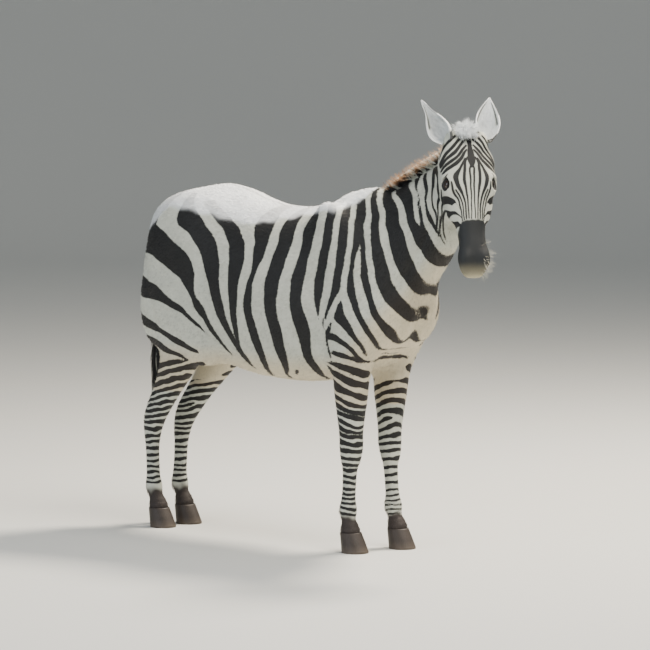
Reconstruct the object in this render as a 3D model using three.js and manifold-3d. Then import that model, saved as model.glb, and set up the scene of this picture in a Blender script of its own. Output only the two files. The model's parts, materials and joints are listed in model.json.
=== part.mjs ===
// A life-size plains zebra that stands square and turns its head to its right.
// Millimetres, +X towards the nose, +Y towards the animal's left, +Z up, floor at z = 0.
// The whole body is one distance field: lofted stations and muscle masses, smoothly joined.
// The nodes of flesh are tubes of rings cast out from their own axes to that field, parted
// from their neighbours by thin cuts. Ears, eyes, hooves, mane and tail have shapes of their own.
import * as THREE from "three";
import { mergeVertices } from "three/addons/utils/BufferGeometryUtils.js";
import Module from "manifold-3d";

const wasm = await Module();
wasm.setup();
const vec = (x, y, z) => new THREE.Vector3(x, y, z);

// ---------------------------------------------------------------- driving sizes
const cutGap = 0.4; // clear gap between two nodes
const standGap = 1.5; // and under ears, mane and tail, where they stand on the body
const centring = new THREE.Vector3(-136, 0, 0); // brings the middle of the box over the origin

// Trunk stations: x, height of the back, height of the belly, half width,
// height of the widest point, roundness of the upper half
const trunkStations = [
  [-632, 1080, 860, 84, 985, 2.0],
  [-590, 1140, 800, 140, 990, 2.0],
  [-520, 1212, 750, 180, 1000, 2.0],
  [-430, 1268, 700, 212, 990, 2.0],
  [-340, 1292, 655, 228, 965, 2.0],
  [-240, 1280, 622, 236, 935, 2.0],
  [-140, 1248, 604, 242, 910, 2.0],
  [-40, 1226, 596, 246, 895, 2.0],
  [80, 1222, 594, 243, 885, 2.0],
  [190, 1238, 602, 230, 890, 1.9],
  [290, 1270, 622, 206, 900, 1.75],
  [380, 1286, 658, 184, 905, 1.7],
  [460, 1262, 700, 164, 905, 1.75],
  [520, 1180, 745, 144, 905, 2.0],
  [562, 1070, 790, 116, 905, 2.0],
  [596, 985, 850, 66, 910, 2.0],
];
const bellyRoundness = 2.15;
const throatRoundness = 2.2;
const trunkRows = trunkStations.map(([x, ...rest]) => [x, 0, ...rest]);

// Neck stations: x, side of the middle, height of the crest, height of the throat line,
// half width, height of the widest point, roundness of the upper half
const neckStations = [
  [300, 0, 1262, 800, 118, 1000, 1.8],
  [400, 0, 1284, 790, 134, 1010, 1.8],
  [480, 0, 1292, 800, 134, 1020, 1.75],
  [540, 0, 1316, 838, 124, 1035, 1.7],
  [590, 0, 1343, 898, 112, 1075, 1.7],
  [640, 2, 1370, 960, 102, 1125, 1.75],
  [690, 6, 1397, 1022, 92, 1180, 1.8],
  [735, 12, 1424, 1100, 82, 1245, 1.9],
  [775, 16, 1450, 1205, 73, 1320, 2.0],
  [810, 16, 1470, 1280, 64, 1385, 2.0],
];

// Head: frame at the poll, then stations along the face
const headPlace = { x: 794, y: 4, z: 1481, yaw: -37.6, pitch: 67.5, size: 0.95 };
// distance from the poll, face line, jaw line, half width above, half width below
const headStations = [
  [-38, 8, -60, 34, 34],
  [-15, 34, -92, 62, 55],
  [30, 50, -122, 88, 66],
  [90, 62, -152, 113, 74],
  [150, 65, -166, 107, 75],
  [205, 61, -152, 90, 70],
  [260, 54, -128, 84, 62],
  [315, 46, -106, 62, 50],
  [370, 40, -90, 51, 45],
  [420, 37, -80, 53, 45],
  [460, 32, -76, 54, 46],
  [488, 20, -73, 49, 44],
  [508, 0, -61, 35, 33],
];

// Masses of the head in its own frame: middle (along, out, up), half sizes
const headMasses = [
  [[184, 75, 26], [48, 29, 32]], // rim of the orbit
  [[180, 52, -54], [112, 38, 74]], // cheek
  [[246, 58, -14], [74, 24, 30]], // cheek ridge
  [[463, 34, 2], [36, 22, 30]], // nostril
  [[18, 54, 32], [40, 28, 28]], // base of the ear
];
const headMiddleMasses = [
  [[496, 0, -28], [24, 42, 26]], // upper lip
  [[468, 0, -75], [30, 34, 20]], // chin
];
const headMiddle = 200; // halfway from poll to muzzle, where the end rings' lean changes sides

// Legs, right side first: x, distance from the middle plane, z, half depth, half width
const foreStations = [
  [400, 112, 830, 112, 74],
  [388, 112, 750, 98, 66],
  [382, 108, 680, 85, 58],
  [380, 105, 620, 74, 53],
  [380, 102, 550, 65, 50],
  [381, 100, 480, 52, 46],
  [382, 98, 425, 45, 42],
  [384, 97, 380, 44, 42],
  [383, 96, 340, 39, 36],
  [380, 95, 300, 29, 27],
  [378, 94, 240, 26, 24],
  [377, 94, 190, 27, 25],
  [377, 94, 150, 34, 30],
  [380, 94, 116, 27, 25],
  [387, 94, 78, 36, 37],
];
const hindStations = [
  [-440, 128, 900, 150, 84],
  [-420, 134, 810, 138, 80],
  [-424, 130, 730, 118, 70],
  [-452, 120, 655, 94, 58],
  [-496, 110, 585, 74, 49],
  [-542, 102, 520, 60, 42],
  [-584, 97, 462, 54, 39],
  [-614, 93, 412, 46, 37],
  [-628, 90, 362, 36, 32],
  [-632, 88, 300, 28, 25],
  [-632, 86, 240, 27, 24],
  [-632, 84, 190, 28, 25],
  [-629, 83, 150, 33, 31],
  [-619, 83, 116, 27, 26],
  [-606, 83, 78, 36, 37],
];
// How far each foot stands from its square place, forwards and outwards, and how far
// the leg reaches forwards below its knee
const stance = {
  fore_right: { side: -1, forward: -27, outward: 4, step: 0 },
  fore_left: { side: 1, forward: -12, outward: 4, step: 40 },
  hind_right: { side: -1, forward: -15, outward: -15, step: 0 },
  hind_left: { side: 1, forward: -11, outward: -15, step: 0 },
};
const kneeHeight = 380;
const fetlockHeight = 150;
const hoof = { height: 72, length: 109, width: 96, topLength: 82, topWidth: 82, lean: 20, heel: 0.86 };
// Its rings: height over the floor, share of the spread from the top to the sole
const hoofRings = [
  [0, 0.96],
  [6, 1],
  [40, 0.5],
  [67, 0.06],
  [hoof.height, 0],
];

// Muscle masses: middle, half sizes, turn about +Y in degrees (nose down is positive)
const pairedMasses = [
  [[-390, 105, 1095], [210, 112, 165], 12], // gluteal
  [[-520, 112, 900], [112, 88, 225], 14], // hamstring
  [[-345, 128, 815], [118, 82, 190], -12], // quadriceps and stifle
  [[350, 120, 1030], [105, 66, 235], -24], // shoulder blade
  [[490, 96, 880], [84, 66, 105], 0], // point of the shoulder
  [[375, 124, 790], [112, 62, 128], 10], // triceps
  [[528, 56, 865], [72, 66, 105], 0], // breast
];

// Tail, from the root down: x, z, half depth, half width
const dockStations = [
  [-580, 1138, 40, 44],
  [-634, 1120, 33, 36],
  [-662, 1064, 25, 27],
  [-670, 980, 20, 21],
  [-670, 880, 17, 18],
  [-670, 790, 16, 17],
];
const tuftStations = [
  [-670, 790, 18, 19],
  [-669, 730, 28, 27],
  [-668, 650, 36, 32],
  [-668, 560, 36, 32],
  [-667, 480, 25, 24],
  [-667, 430, 6, 6],
];
// Eye: its place in the head's frame, and the hollow between the lids that it shows through
const eye = { along: 188, out: 75, up: 28, radius: 20 };
const eyeOpening = { along: 188, out: 97, up: 42, halfSizes: [25, 24, 19] };

// Ears: leaf-shaped shells, rolled at the base; their half widths go from base to tip
const ear = { length: 170, wall: 5, rolledBase: 140, rolledTip: 62, hollow: 0.4, lip: 0.97, arc: 8 };
const earPlaces = {
  ear_right: {
    at: [12, -64, 26],
    along: vec(-0.4, -0.41, 0.84),
    open: vec(0.2, -0.95, 0.1),
    widths: [27, 35, 41, 43, 40, 34, 26, 19, 14, 9, 3],
  },
  ear_left: {
    at: [16, 74, 20],
    along: vec(-0.2, 0.39, 0.86),
    open: vec(0.75, -0.62, 0.12),
    widths: [26, 34, 41, 44, 45, 43, 39, 33, 24, 13, 3],
  },
};

// Mane, from the withers forwards: x, y, z of the crest, height, half width
const maneStations = [
  [425, 0, 1288, 12, 9],
  [480, 0, 1296, 44, 13],
  [540, 0, 1319, 56, 14],
  [590, 0, 1345, 58, 15],
  [640, 2, 1372, 56, 15],
  [690, 6, 1399, 54, 15],
  [735, 10, 1426, 50, 15],
  [778, 6, 1456, 46, 16],
  [812, -12, 1482, 40, 18],
];
const maneSink = 34; // how far the hair's roots reach under the crest
const forelock = { along: -13, up: 52, halfSizes: [27, 46, 27] };

const bodyBlend = 70; // how widely trunk, neck and muscles run into each other
const legBlend = 46;
const pollBlend = 50;
const cheekBlend = 26;
const lipBlend = 22;
const headRoundness = 2.3;
const capEdge = 14; // how softly the ends of trunk and neck are rounded
const muzzleEdge = 12; // and the ends of the head
const skinTolerance = 0.5;
const rayStep = 10;

// ---------------------------------------------------------------- where the nodes part
// Legs: under a plane that climbs outwards through two points of y and z; lower leg from the knee
const legCuts = {
  fore: { x: 385, length: 300, inner: [0, 585], outer: [200, 700], knee: 330 },
  hind: { x: -470, length: 420, inner: [0, 590], outer: [240, 715], knee: 365 },
};
const neckCut = { back: [330, 1330], front: [645, 900], above: 400 }; // x and z
const headCut = { top: [-40, 60], bottom: [46, -182], above: 300, below: 12 }; // along and up
const huge = 2400; // longer than the animal

// ---------------------------------------------------------------- facets
const facets = {
  trunk: { rings: 20, around: 26, reach: 480 },
  neck: { rings: 15, around: 22, reach: 330 },
  head: { rings: 22, around: 26, reach: 170 },
  leg: { rings: 25, around: 12, reach: 215 },
  tail: { rings: 11, around: 12 },
  hoof: { around: 16 },
  mane: { rings: 16 },
  ball: { around: 14, rings: 7 },
};
const capLeans = [26, 52, 74]; // how the rays of the end rings lean over the ends
const capInset = 4; // and how far inside the last station they start
const neckRise = 10; // the neck's middle line is lifted this much at the head
const maneSection = [[-1, -1], [-1, 0.3], [-0.75, 0.8], [0, 1], [0.75, 0.8], [1, 0.3], [1, -1]];

// ---------------------------------------------------------------- small maths
const rad = THREE.MathUtils.degToRad;
const smoothMin = (a, b, k) => {
  const h = Math.max(k - Math.abs(a - b), 0) / k;
  return Math.min(a, b) - (h * h * k) / 4;
};

// A Catmull-Rom walk through rows of numbers, column by column.
function blendRows(rows, at) {
  const i = Math.min(Math.max(Math.floor(at), 0), rows.length - 2);
  const t = at - i;
  const row = (n) => rows[Math.min(Math.max(n, 0), rows.length - 1)];
  return rows[i].map((b, c) => {
    const [a, d, e] = [row(i - 1)[c], row(i + 1)[c], row(i + 2)[c]];
    return b + 0.5 * t * (d - a + t * (2 * a - 5 * b + 4 * d - e + t * (3 * (b - d) + e - a)));
  });
}

// The row of a table sorted by its first column, at a value of that column.
function rowAt(rows, value) {
  let i = 0;
  while (i < rows.length - 2 && rows[i + 1][0] < value) i += 1;
  const t = (value - rows[i][0]) / (rows[i + 1][0] - rows[i][0]);
  return blendRows(rows, i + Math.min(Math.max(t, 0), 1));
}

// Signed distance, roughly, to a superellipse of half sizes w and h.
function sectionDistance(side, up, w, h, power) {
  const reach = Math.hypot(side, up);
  if (reach < 1e-6) return -Math.min(w, h);
  const q = (Math.abs(side / w) ** power + Math.abs(up / h) ** power) ** (1 / power);
  return reach * (1 - 1 / q);
}

function ellipsoidDistance(p, [rx, ry, rz]) {
  const near = Math.hypot(p.x / rx, p.y / ry, p.z / rz);
  const steep = Math.hypot(p.x / rx ** 2, p.y / ry ** 2, p.z / rz ** 2);
  return steep < 1e-9 ? -Math.min(rx, ry, rz) : (near * (near - 1)) / steep;
}

// ---------------------------------------------------------------- the body's distance field

// A chain of stations [x, y, z, ...radii]: finely stepped, each step a slice of tube.
function chain(stations, steps, distanceTo) {
  const rows = [];
  for (let i = 0; i <= (stations.length - 1) * steps; i += 1) rows.push(blendRows(stations, i / steps));
  const points = rows.map((r) => vec(r[0], r[1], r[2]));
  const line = new THREE.Line3();
  const near = vec(0, 0, 0);
  return (p) => {
    let best = Infinity;
    for (let i = 0; i < points.length - 1; i += 1) {
      line.set(points[i], points[i + 1]);
      const t = line.closestPointToPointParameter(p, true);
      line.at(t, near);
      const radii = rows[i].slice(3).map((r, c) => r + t * (rows[i + 1][c + 3] - r));
      const along = line.delta(vec(0, 0, 0)).normalize();
      best = Math.min(best, distanceTo(p.clone().sub(near), along, radii));
    }
    return best;
  };
}

// A loft of upright sections along x: rows of x, side, top, low, half width, widest, roundness.
function loftDistance(p, rows, lowRoundness) {
  const first = rows[0][0];
  const last = rows.at(-1)[0];
  const x = Math.min(Math.max(p.x, first), last);
  const [, y, top, low, w, wide, roundness] = rowAt(rows, x);
  const up = p.z - wide;
  const h = up > 0 ? top - wide : wide - low;
  const d = sectionDistance(p.y - y, up, w, h, up > 0 ? roundness : lowRoundness);
  const past = p.x - x;
  return past === 0 ? d : Math.hypot(Math.max(d + capEdge, 0), past) - capEdge;
}
const trunkDistance = (p) => loftDistance(p, trunkRows, bellyRoundness);
const neckDistance = (p) => loftDistance(p, neckStations, throatRoundness);

const legStations = {};
const legDistance = {};
for (const [name, { side, forward, outward, step }] of Object.entries(stance)) {
  const rows = name.startsWith("fore") ? foreStations : hindStations;
  legStations[name] = rows.map(([x, y, z, deep, wide]) => {
    const low = THREE.MathUtils.clamp((rows[0][2] - z) / (rows[0][2] - fetlockHeight), 0, 1);
    const below = THREE.MathUtils.clamp((kneeHeight - z) / (kneeHeight - hoof.height), 0, 1);
    return [x + forward * low + step * below, side * (y + outward * low), z, deep, wide];
  });
  legDistance[name] = chain(legStations[name], 3, (q, along, [deep, wide]) => {
    const upright = Math.hypot(q.x, q.y / (wide / deep));
    return upright < 1e-6
      ? Math.abs(q.z) - deep
      : ellipsoidDistance(q, [deep, wide, Math.abs(along.z) > 0.5 ? wide : deep]);
  });
}

const headAxes = (() => {
  const yaw = rad(headPlace.yaw);
  const pitch = rad(headPlace.pitch);
  const along = vec(Math.cos(pitch) * Math.cos(yaw), Math.cos(pitch) * Math.sin(yaw), -Math.sin(pitch));
  const left = vec(-Math.sin(yaw), Math.cos(yaw), 0);
  const up = along.clone().cross(left);
  return { origin: vec(headPlace.x, headPlace.y, headPlace.z), along, left, up };
})();
const headPoint = (along, left, up) =>
  headAxes.origin
    .clone()
    .addScaledVector(headAxes.along, along * headPlace.size)
    .addScaledVector(headAxes.left, left * headPlace.size)
    .addScaledVector(headAxes.up, up * headPlace.size);
function toHead(p) {
  const q = p.clone().sub(headAxes.origin).divideScalar(headPlace.size);
  return vec(q.dot(headAxes.along), q.dot(headAxes.left), q.dot(headAxes.up));
}

function headDistance(world) {
  const p = toHead(world);
  const first = headStations[0][0];
  const last = headStations.at(-1)[0];
  const t = Math.min(Math.max(p.x, first), last);
  const [, top, low, wideUp, wideLow] = rowAt(headStations, t);
  const middle = (top * 2 + low) / 3;
  const up = p.z - middle;
  const share = THREE.MathUtils.smoothstep(up, low - middle, top - middle);
  const w = wideLow + (wideUp - wideLow) * share;
  let d = sectionDistance(p.y, up, w, up > 0 ? top - middle : middle - low, headRoundness);
  if (p.x !== t) d = Math.hypot(Math.max(d + muzzleEdge, 0), p.x - t) - muzzleEdge;
  const mirrored = vec(p.x, Math.abs(p.y), p.z);
  for (const [[a, o, u], size] of headMasses)
    d = smoothMin(d, ellipsoidDistance(mirrored.clone().sub(vec(a, o, u)), size), cheekBlend);
  for (const [[a, o, u], size] of headMiddleMasses)
    d = smoothMin(d, ellipsoidDistance(p.clone().sub(vec(a, o, u)), size), lipBlend);
  return d * headPlace.size;
}

function massDistance(p, [[x, y, z], size, turn]) {
  const c = Math.cos(rad(turn));
  const s = Math.sin(rad(turn));
  const [dx, dz] = [p.x - x, p.z - z];
  return ellipsoidDistance(vec(c * dx - s * dz, Math.abs(p.y) - y, s * dx + c * dz), size);
}

function torsoDistance(p) {
  let d = trunkDistance(p);
  for (const mass of pairedMasses) d = smoothMin(d, massDistance(p, mass), bodyBlend);
  return d;
}
const neckAndHead = (p) => smoothMin(neckDistance(p), headDistance(p), pollBlend);

// The whole skin; a name limits it to what one node's rays may meet.
function skin(p, legs = Object.keys(stance)) {
  let d = smoothMin(torsoDistance(p), neckAndHead(p), bodyBlend);
  for (const name of legs) d = smoothMin(d, legDistance[name](p), legBlend);
  return d;
}

// ---------------------------------------------------------------- from field to solids
// How far the skin is from a point in one direction, by short steps and then halving.
function castTo(field, from, direction, reach) {
  const at = (r) => from.clone().addScaledVector(direction, r);
  let inside = 0;
  for (let r = rayStep; r <= reach; r += rayStep) {
    if (field(at(r)) > 0) {
      let outside = r;
      while (outside - inside > skinTolerance) {
        const middle = (inside + outside) / 2;
        if (field(at(middle)) > 0) outside = middle;
        else inside = middle;
      }
      return at(outside);
    }
    inside = r;
  }
  return at(reach);
}

// A closed skin over rings of points; each ring runs the same way round.
function ringGeometry(rings) {
  const count = rings[0].length;
  const points = rings.flat();
  const middle = (ring) => ring.reduce((s, p) => s.add(p), vec(0, 0, 0)).divideScalar(count);
  const start = points.push(middle(rings[0])) - 1;
  const end = points.push(middle(rings.at(-1))) - 1;
  const faces = [];
  for (let j = 0; j < count; j += 1) {
    const k = (j + 1) % count;
    for (let i = 0; i < rings.length - 1; i += 1) {
      const [a, b, c, d] = [i * count + j, i * count + k, (i + 1) * count + j, (i + 1) * count + k];
      faces.push(a, b, d, a, d, c);
    }
    faces.push(start, k, j, end, (rings.length - 1) * count + j, (rings.length - 1) * count + k);
  }
  const geometry = new THREE.BufferGeometry();
  geometry.setAttribute("position", new THREE.Float32BufferAttribute(points.flatMap((p) => p.toArray()), 3));
  geometry.setIndex(faces);
  return geometry;
}

// Rings cast out from an axis: each entry is { at, u, v, reach }, with a lean towards "to".
function castTube(field, axis, count) {
  return ringGeometry(
    axis.map(({ at, u, v, reach, lean = 0, to = at }) =>
      Array.from({ length: count }, (_, j) => {
        const angle = (2 * Math.PI * (j + 0.5)) / count;
        const out = u.clone().multiplyScalar(Math.cos(angle)).addScaledVector(v, Math.sin(angle));
        if (lean) out.multiplyScalar(Math.cos(rad(lean))).addScaledVector(to, Math.sin(rad(lean)));
        return castTo(field, at, out, reach);
      }),
    ),
  );
}

function toSolid(geometry, grow = 0) {
  const bare = geometry.clone();
  for (const name of Object.keys(bare.attributes)) if (name !== "position") bare.deleteAttribute(name);
  const merged = mergeVertices(bare, 1e-3);
  if (grow) {
    merged.computeVertexNormals();
    const { position, normal } = merged.attributes;
    for (let i = 0; i < position.array.length; i += 1) position.array[i] += normal.array[i] * grow;
    merged.deleteAttribute("normal");
  }
  const shape = { numProp: 3, vertProperties: merged.attributes.position.array };
  const solid = new wasm.Manifold(new wasm.Mesh({ ...shape, triVerts: new Uint32Array(merged.index.array) }));
  if (solid.volume() > 0) return solid;
  const turned = new Uint32Array(merged.index.array);
  for (let i = 0; i < turned.length; i += 3) [turned[i + 1], turned[i + 2]] = [turned[i + 2], turned[i + 1]];
  return new wasm.Manifold(new wasm.Mesh({ ...shape, triVerts: turned }));
}

function toGeometry(solid) {
  const { vertProperties, triVerts } = solid.getMesh();
  const geometry = new THREE.BufferGeometry();
  geometry.setAttribute("position", new THREE.BufferAttribute(vertProperties, 3));
  geometry.setIndex(new THREE.BufferAttribute(triVerts, 1));
  return geometry;
}

const biggest = (solid) => solid.decompose().sort((a, b) => b.volume() - a.volume())[0];

// ---------------------------------------------------------------- parting regions
// A box hung from the middle of its top face, in a frame of three axes.
function hungBox(topMiddle, axes, size, gap = 0) {
  const box = new THREE.BoxGeometry(...size.map((s) => s + 2 * gap));
  box.translate(0, 0, -size[2] / 2);
  box.applyMatrix4(new THREE.Matrix4().makeBasis(...axes));
  box.translate(topMiddle.x, topMiddle.y, topMiddle.z);
  return toSolid(box);
}
const upright = [vec(1, 0, 0), vec(0, 1, 0), vec(0, 0, 1)];

// Each leg's own part of the body, on its own side of the middle plane.
function legRegion(name, gap = 0) {
  const { x, length, inner, outer } = legCuts[name.slice(0, 4)];
  const { side } = stance[name];
  const slope = vec(0, side * (outer[0] - inner[0]), outer[1] - inner[1]).normalize();
  const axes = [vec(1, 0, 0), slope, vec(1, 0, 0).cross(slope)];
  if (axes[2].z < 0) axes.splice(0, 3, vec(1, 0, 0), slope.negate(), vec(1, 0, 0).cross(slope));
  const tilted = hungBox(vec(x, side * inner[0], inner[1]), axes, [length, huge, huge], gap);
  const sideMiddle = vec(x, (side * huge) / 4, huge / 2);
  const ownSide = hungBox(sideMiddle, upright, [huge, huge / 2 - cutGap, huge], gap);
  return tilted.intersect(ownSide);
}

// Everything in front of a sloping plane at the base of the neck, and above the breast.
function neckRegion(gap = 0) {
  const slope = vec(neckCut.front[0] - neckCut.back[0], 0, neckCut.front[1] - neckCut.back[1]).normalize();
  const forward = vec(-slope.z, 0, slope.x);
  const top = vec(neckCut.back[0], 0, neckCut.back[1]).addScaledVector(forward, huge / 2);
  const axes = [forward, vec(0, 1, 0), slope.clone().negate()];
  return hungBox(top.addScaledVector(slope, -neckCut.above), axes, [huge, huge, huge], gap);
}

// Everything beyond a plane behind the ears and the jaw.
function headRegion(gap = 0) {
  const top = headPoint(headCut.top[0], 0, headCut.top[1]);
  const bottom = headPoint(headCut.bottom[0], 0, headCut.bottom[1]);
  const slope = bottom.clone().sub(top).normalize();
  const depth = headCut.above + bottom.distanceTo(top) + headCut.below;
  const forward = headAxes.left.clone().cross(slope).negate().normalize();
  if (forward.dot(headAxes.along) < 0) forward.negate();
  const side = slope.clone().negate().cross(forward);
  const middle = top.addScaledVector(forward, huge / 2).addScaledVector(slope, -headCut.above);
  return hungBox(middle, [forward, side, slope.negate()], [huge, huge, depth], gap);
}

// ---------------------------------------------------------------- the nodes
const model = new THREE.Group();
const coat = new THREE.MeshStandardMaterial({ color: 0xd9d6c8, roughness: 0.75, metalness: 0 });
const maneHair = new THREE.MeshStandardMaterial({ color: 0xa98762, roughness: 0.85, metalness: 0 });
const darkHair = new THREE.MeshStandardMaterial({ color: 0x2a2725, roughness: 0.8, metalness: 0 });
const horn = new THREE.MeshStandardMaterial({ color: 0x4a423e, roughness: 0.55, metalness: 0 });
const wetEye = new THREE.MeshStandardMaterial({ color: 0x120d0a, roughness: 0.1, metalness: 0 });

const solids = {};
function addNode(name, solid, material) {
  solids[name] = biggest(solid);
  const mesh = new THREE.Mesh(toGeometry(solids[name]), material);
  mesh.name = name;
  model.add(mesh);
}

// Rings spread evenly from one end of a table to the other, with leaning rings over both ends.
function cappedTube(field, { rings, around }, first, last, ring) {
  const middle = Array.from({ length: rings }, (_, i) => ring(first + ((last - first) * i) / (rings - 1)));
  const cap = (place) => capLeans.map((lean) => ring(place, lean));
  return castTube(field, [...cap(first).reverse(), ...middle, ...cap(last)], around);
}

function trunkTube() {
  const { reach } = facets.trunk;
  const ring = (x, lean = 0) => {
    const at = vec(x, 0, rowAt(trunkStations, x)[4]);
    return { at, u: vec(0, 1, 0), v: vec(0, 0, 1), reach, lean, to: vec(Math.sign(x), 0, 0) };
  };
  const first = trunkStations[1][0] - capInset;
  const last = trunkStations.at(-2)[0] + capInset;
  return cappedTube(skin, facets.trunk, first, last, ring);
}

function neckTube() {
  const { rings, around, reach } = facets.neck;
  const row = (share) => {
    const [x, y, top, low] = blendRows(neckStations, (neckStations.length - 1) * share);
    return vec(x, y, (top + low) / 2 + neckRise * share);
  };
  const axis = Array.from({ length: rings }, (_, i) => {
    const share = i / (rings - 1);
    const along = row(Math.min(share + 0.02, 1)).sub(row(Math.max(share - 0.02, 0))).normalize();
    const u = vec(-along.y, along.x, 0).normalize();
    return { at: row(share), u, v: u.clone().cross(along).negate(), reach };
  });
  return castTube((p) => skin(p, []), axis, around);
}

function headTube() {
  const { reach } = facets.head;
  const ring = (t, lean = 0) => {
    const [, top, low] = rowAt(headStations, t);
    const to = headAxes.along.clone().multiplyScalar(t > headMiddle ? 1 : -1);
    return { at: headPoint(t, 0, (top + low) / 2), u: headAxes.left, v: headAxes.up, reach, lean, to };
  };
  return cappedTube(neckAndHead, facets.head, headStations[1][0], headStations.at(-2)[0], ring);
}

function legTube(name) {
  const { rings, around, reach } = facets.leg;
  const rows = legStations[name];
  const bottom = rows.at(-1)[2];
  const axis = Array.from({ length: rings }, (_, i) => {
    const row = blendRows(rows, ((rows.length - 1) * i) / (rings - 1));
    const z = i === rings - 1 ? hoof.height + cutGap : Math.max(row[2], bottom);
    return { at: vec(row[0], row[1], z), u: vec(1, 0, 0), v: vec(0, 1, 0), reach };
  });
  return castTube((p) => skin(p, [name]), axis, around);
}

function hoofGeometry(name) {
  const [x, y] = legStations[name].at(-1);
  const { around } = facets.hoof;
  const rings = hoofRings.map(([z, flare], i) => {
    const spread = (a, b) => (a + (b - a) * flare) / 2;
    const forward = hoof.lean * (i < 2 ? 1 : flare);
    return Array.from({ length: around }, (_, j) => {
      const angle = (2 * Math.PI * j) / around;
      const heel = Math.cos(angle) < 0 ? hoof.heel : 1;
      return vec(
        x + forward + spread(hoof.topLength, hoof.length) * Math.cos(angle) * heel,
        y + spread(hoof.topWidth, hoof.width) * Math.sin(angle),
        z,
      );
    });
  });
  return ringGeometry(rings);
}

// An ear's shell, open towards one side.
function earGeometry({ at, along, open, widths }) {
  const base = headPoint(...at);
  const side = open.clone().cross(along).normalize();
  const back = along.clone().cross(side).normalize();
  if (back.dot(open) > 0) back.negate();
  const rings = widths.map((halfWidth, i) => {
    const s = i / (widths.length - 1);
    const wrap = rad(THREE.MathUtils.lerp(ear.rolledBase, ear.rolledTip, Math.sqrt(s)));
    const radius = halfWidth / Math.sin(Math.min(wrap, Math.PI / 2));
    const middle = base.clone().addScaledVector(along, ear.length * s).addScaledVector(back, -radius / 2);
    const point = (angle, r) =>
      middle.clone().addScaledVector(side, r * Math.sin(angle)).addScaledVector(back, r * Math.cos(angle));
    const arc = Array.from({ length: ear.arc + 1 }, (_, j) => -wrap + (2 * wrap * j) / ear.arc);
    const inner = Math.max(radius - ear.wall, radius * ear.hollow);
    return [...arc.map((a) => point(a, radius)), ...arc.reverse().map((a) => point(a * ear.lip, inner))];
  });
  return ringGeometry(rings);
}

const nodeNames = Object.keys(stance);
const trunkAll = toSolid(trunkTube());
let trunk = trunkAll.subtract(neckRegion(cutGap));
for (const name of nodeNames) trunk = trunk.subtract(legRegion(name, cutGap));
addNode("trunk", trunk, coat);
addNode("neck", toSolid(neckTube()).intersect(neckRegion()).subtract(headRegion(cutGap)), coat);

// A ball, or an egg, in the head's frame.
function headBall([along, out, up], halfSizes, gap = 0) {
  const ball = new THREE.SphereGeometry(1, facets.ball.around, facets.ball.rings);
  ball.scale(...halfSizes.map((half) => half * headPlace.size + gap));
  ball.applyMatrix4(new THREE.Matrix4().makeBasis(headAxes.along, headAxes.left, headAxes.up));
  return toSolid(ball.translate(...headPoint(along, out, up)));
}
const eyeSizes = [eye.radius, eye.radius, eye.radius];
let head = toSolid(headTube()).intersect(headRegion());
for (const side of [-1, 1]) {
  const opening = [eyeOpening.along, side * eyeOpening.out, eyeOpening.up];
  head = head.subtract(headBall(opening, eyeOpening.halfSizes));
  head = head.subtract(headBall([eye.along, side * eye.out, eye.up], eyeSizes, cutGap));
}
addNode("head", head, coat);
for (const [name, side] of [["eye_right", -1], ["eye_left", 1]])
  addNode(name, headBall([eye.along, side * eye.out, eye.up], eyeSizes), wetEye);

for (const name of nodeNames) {
  const leg = toSolid(legTube(name)).intersect(legRegion(name));
  const [x, y] = legStations[name].at(-1);
  const below = (gap) => hungBox(vec(x, y, legCuts[name.slice(0, 4)].knee), upright, [huge, huge, huge], gap);
  addNode(`leg_${name}_upper`, leg.subtract(below(cutGap)), coat);
  addNode(`leg_${name}_lower`, leg.intersect(below(0)), coat);
  addNode(`hoof_${name}`, toSolid(hoofGeometry(name)), horn);
}

const grown = [trunkTube(), neckTube(), headTube()].map((geometry) => toSolid(geometry, standGap));
const clearOf = (solid, others) => others.reduce((rest, other) => rest.subtract(other), solid);
const lockAt = [forelock.along, 0, forelock.up];
addNode("forelock", clearOf(headBall(lockAt, forelock.halfSizes), grown), maneHair);
const besideLock = [...grown, headBall(lockAt, forelock.halfSizes, cutGap)];
for (const [name, place] of Object.entries(earPlaces)) {
  place.along.normalize();
  place.open.normalize();
  addNode(name, clearOf(toSolid(earGeometry(place)), besideLock), coat);
}

// A piece of the tail: rings square to its own middle line.
function tailTube(stations) {
  const { rings: count, around } = facets.tail;
  const at = (share) => blendRows(stations, (stations.length - 1) * share);
  const rings = Array.from({ length: count }, (_, i) => {
    const share = i / (count - 1);
    const [x, z, deep, wide] = at(share);
    const [nextX, nextZ] = at(Math.min(share + 0.01, 1));
    const [lastX, lastZ] = at(Math.max(share - 0.01, 0));
    const along = vec(nextX - lastX, 0, nextZ - lastZ).normalize();
    const across = vec(along.z, 0, -along.x);
    return Array.from({ length: around }, (_, j) => {
      const angle = (2 * Math.PI * j) / around;
      return vec(x, wide * Math.sin(angle), z).addScaledVector(across, deep * Math.cos(angle));
    });
  });
  return ringGeometry(rings);
}
const belowDock = hungBox(vec(0, 0, tuftStations[0][1] - cutGap), upright, [huge, huge, huge]);
addNode("tail_dock", clearOf(toSolid(tailTube(dockStations)), grown), coat);
addNode("tail_tuft", toSolid(tailTube(tuftStations)).intersect(belowDock), darkHair);

const maneRings = Array.from({ length: facets.mane.rings }, (_, i) => {
  const at = ((maneStations.length - 1) * i) / (facets.mane.rings - 1);
  const [x, y, z, height, half] = blendRows(maneStations, at);
  const along = vec(...blendRows(maneStations, at + 0.01)).sub(vec(...blendRows(maneStations, at - 0.01)));
  const side = vec(-along.y, along.x, 0).normalize();
  const up = along.clone().cross(side).normalize();
  return maneSection.map(([s, u]) =>
    vec(x, y, z).addScaledVector(side, s * half).addScaledVector(up, u < 0 ? -maneSink : u * height),
  );
});
addNode("mane", clearOf(toSolid(ringGeometry(maneRings)), besideLock), maneHair);

model.position.copy(centring);
export default model;
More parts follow.
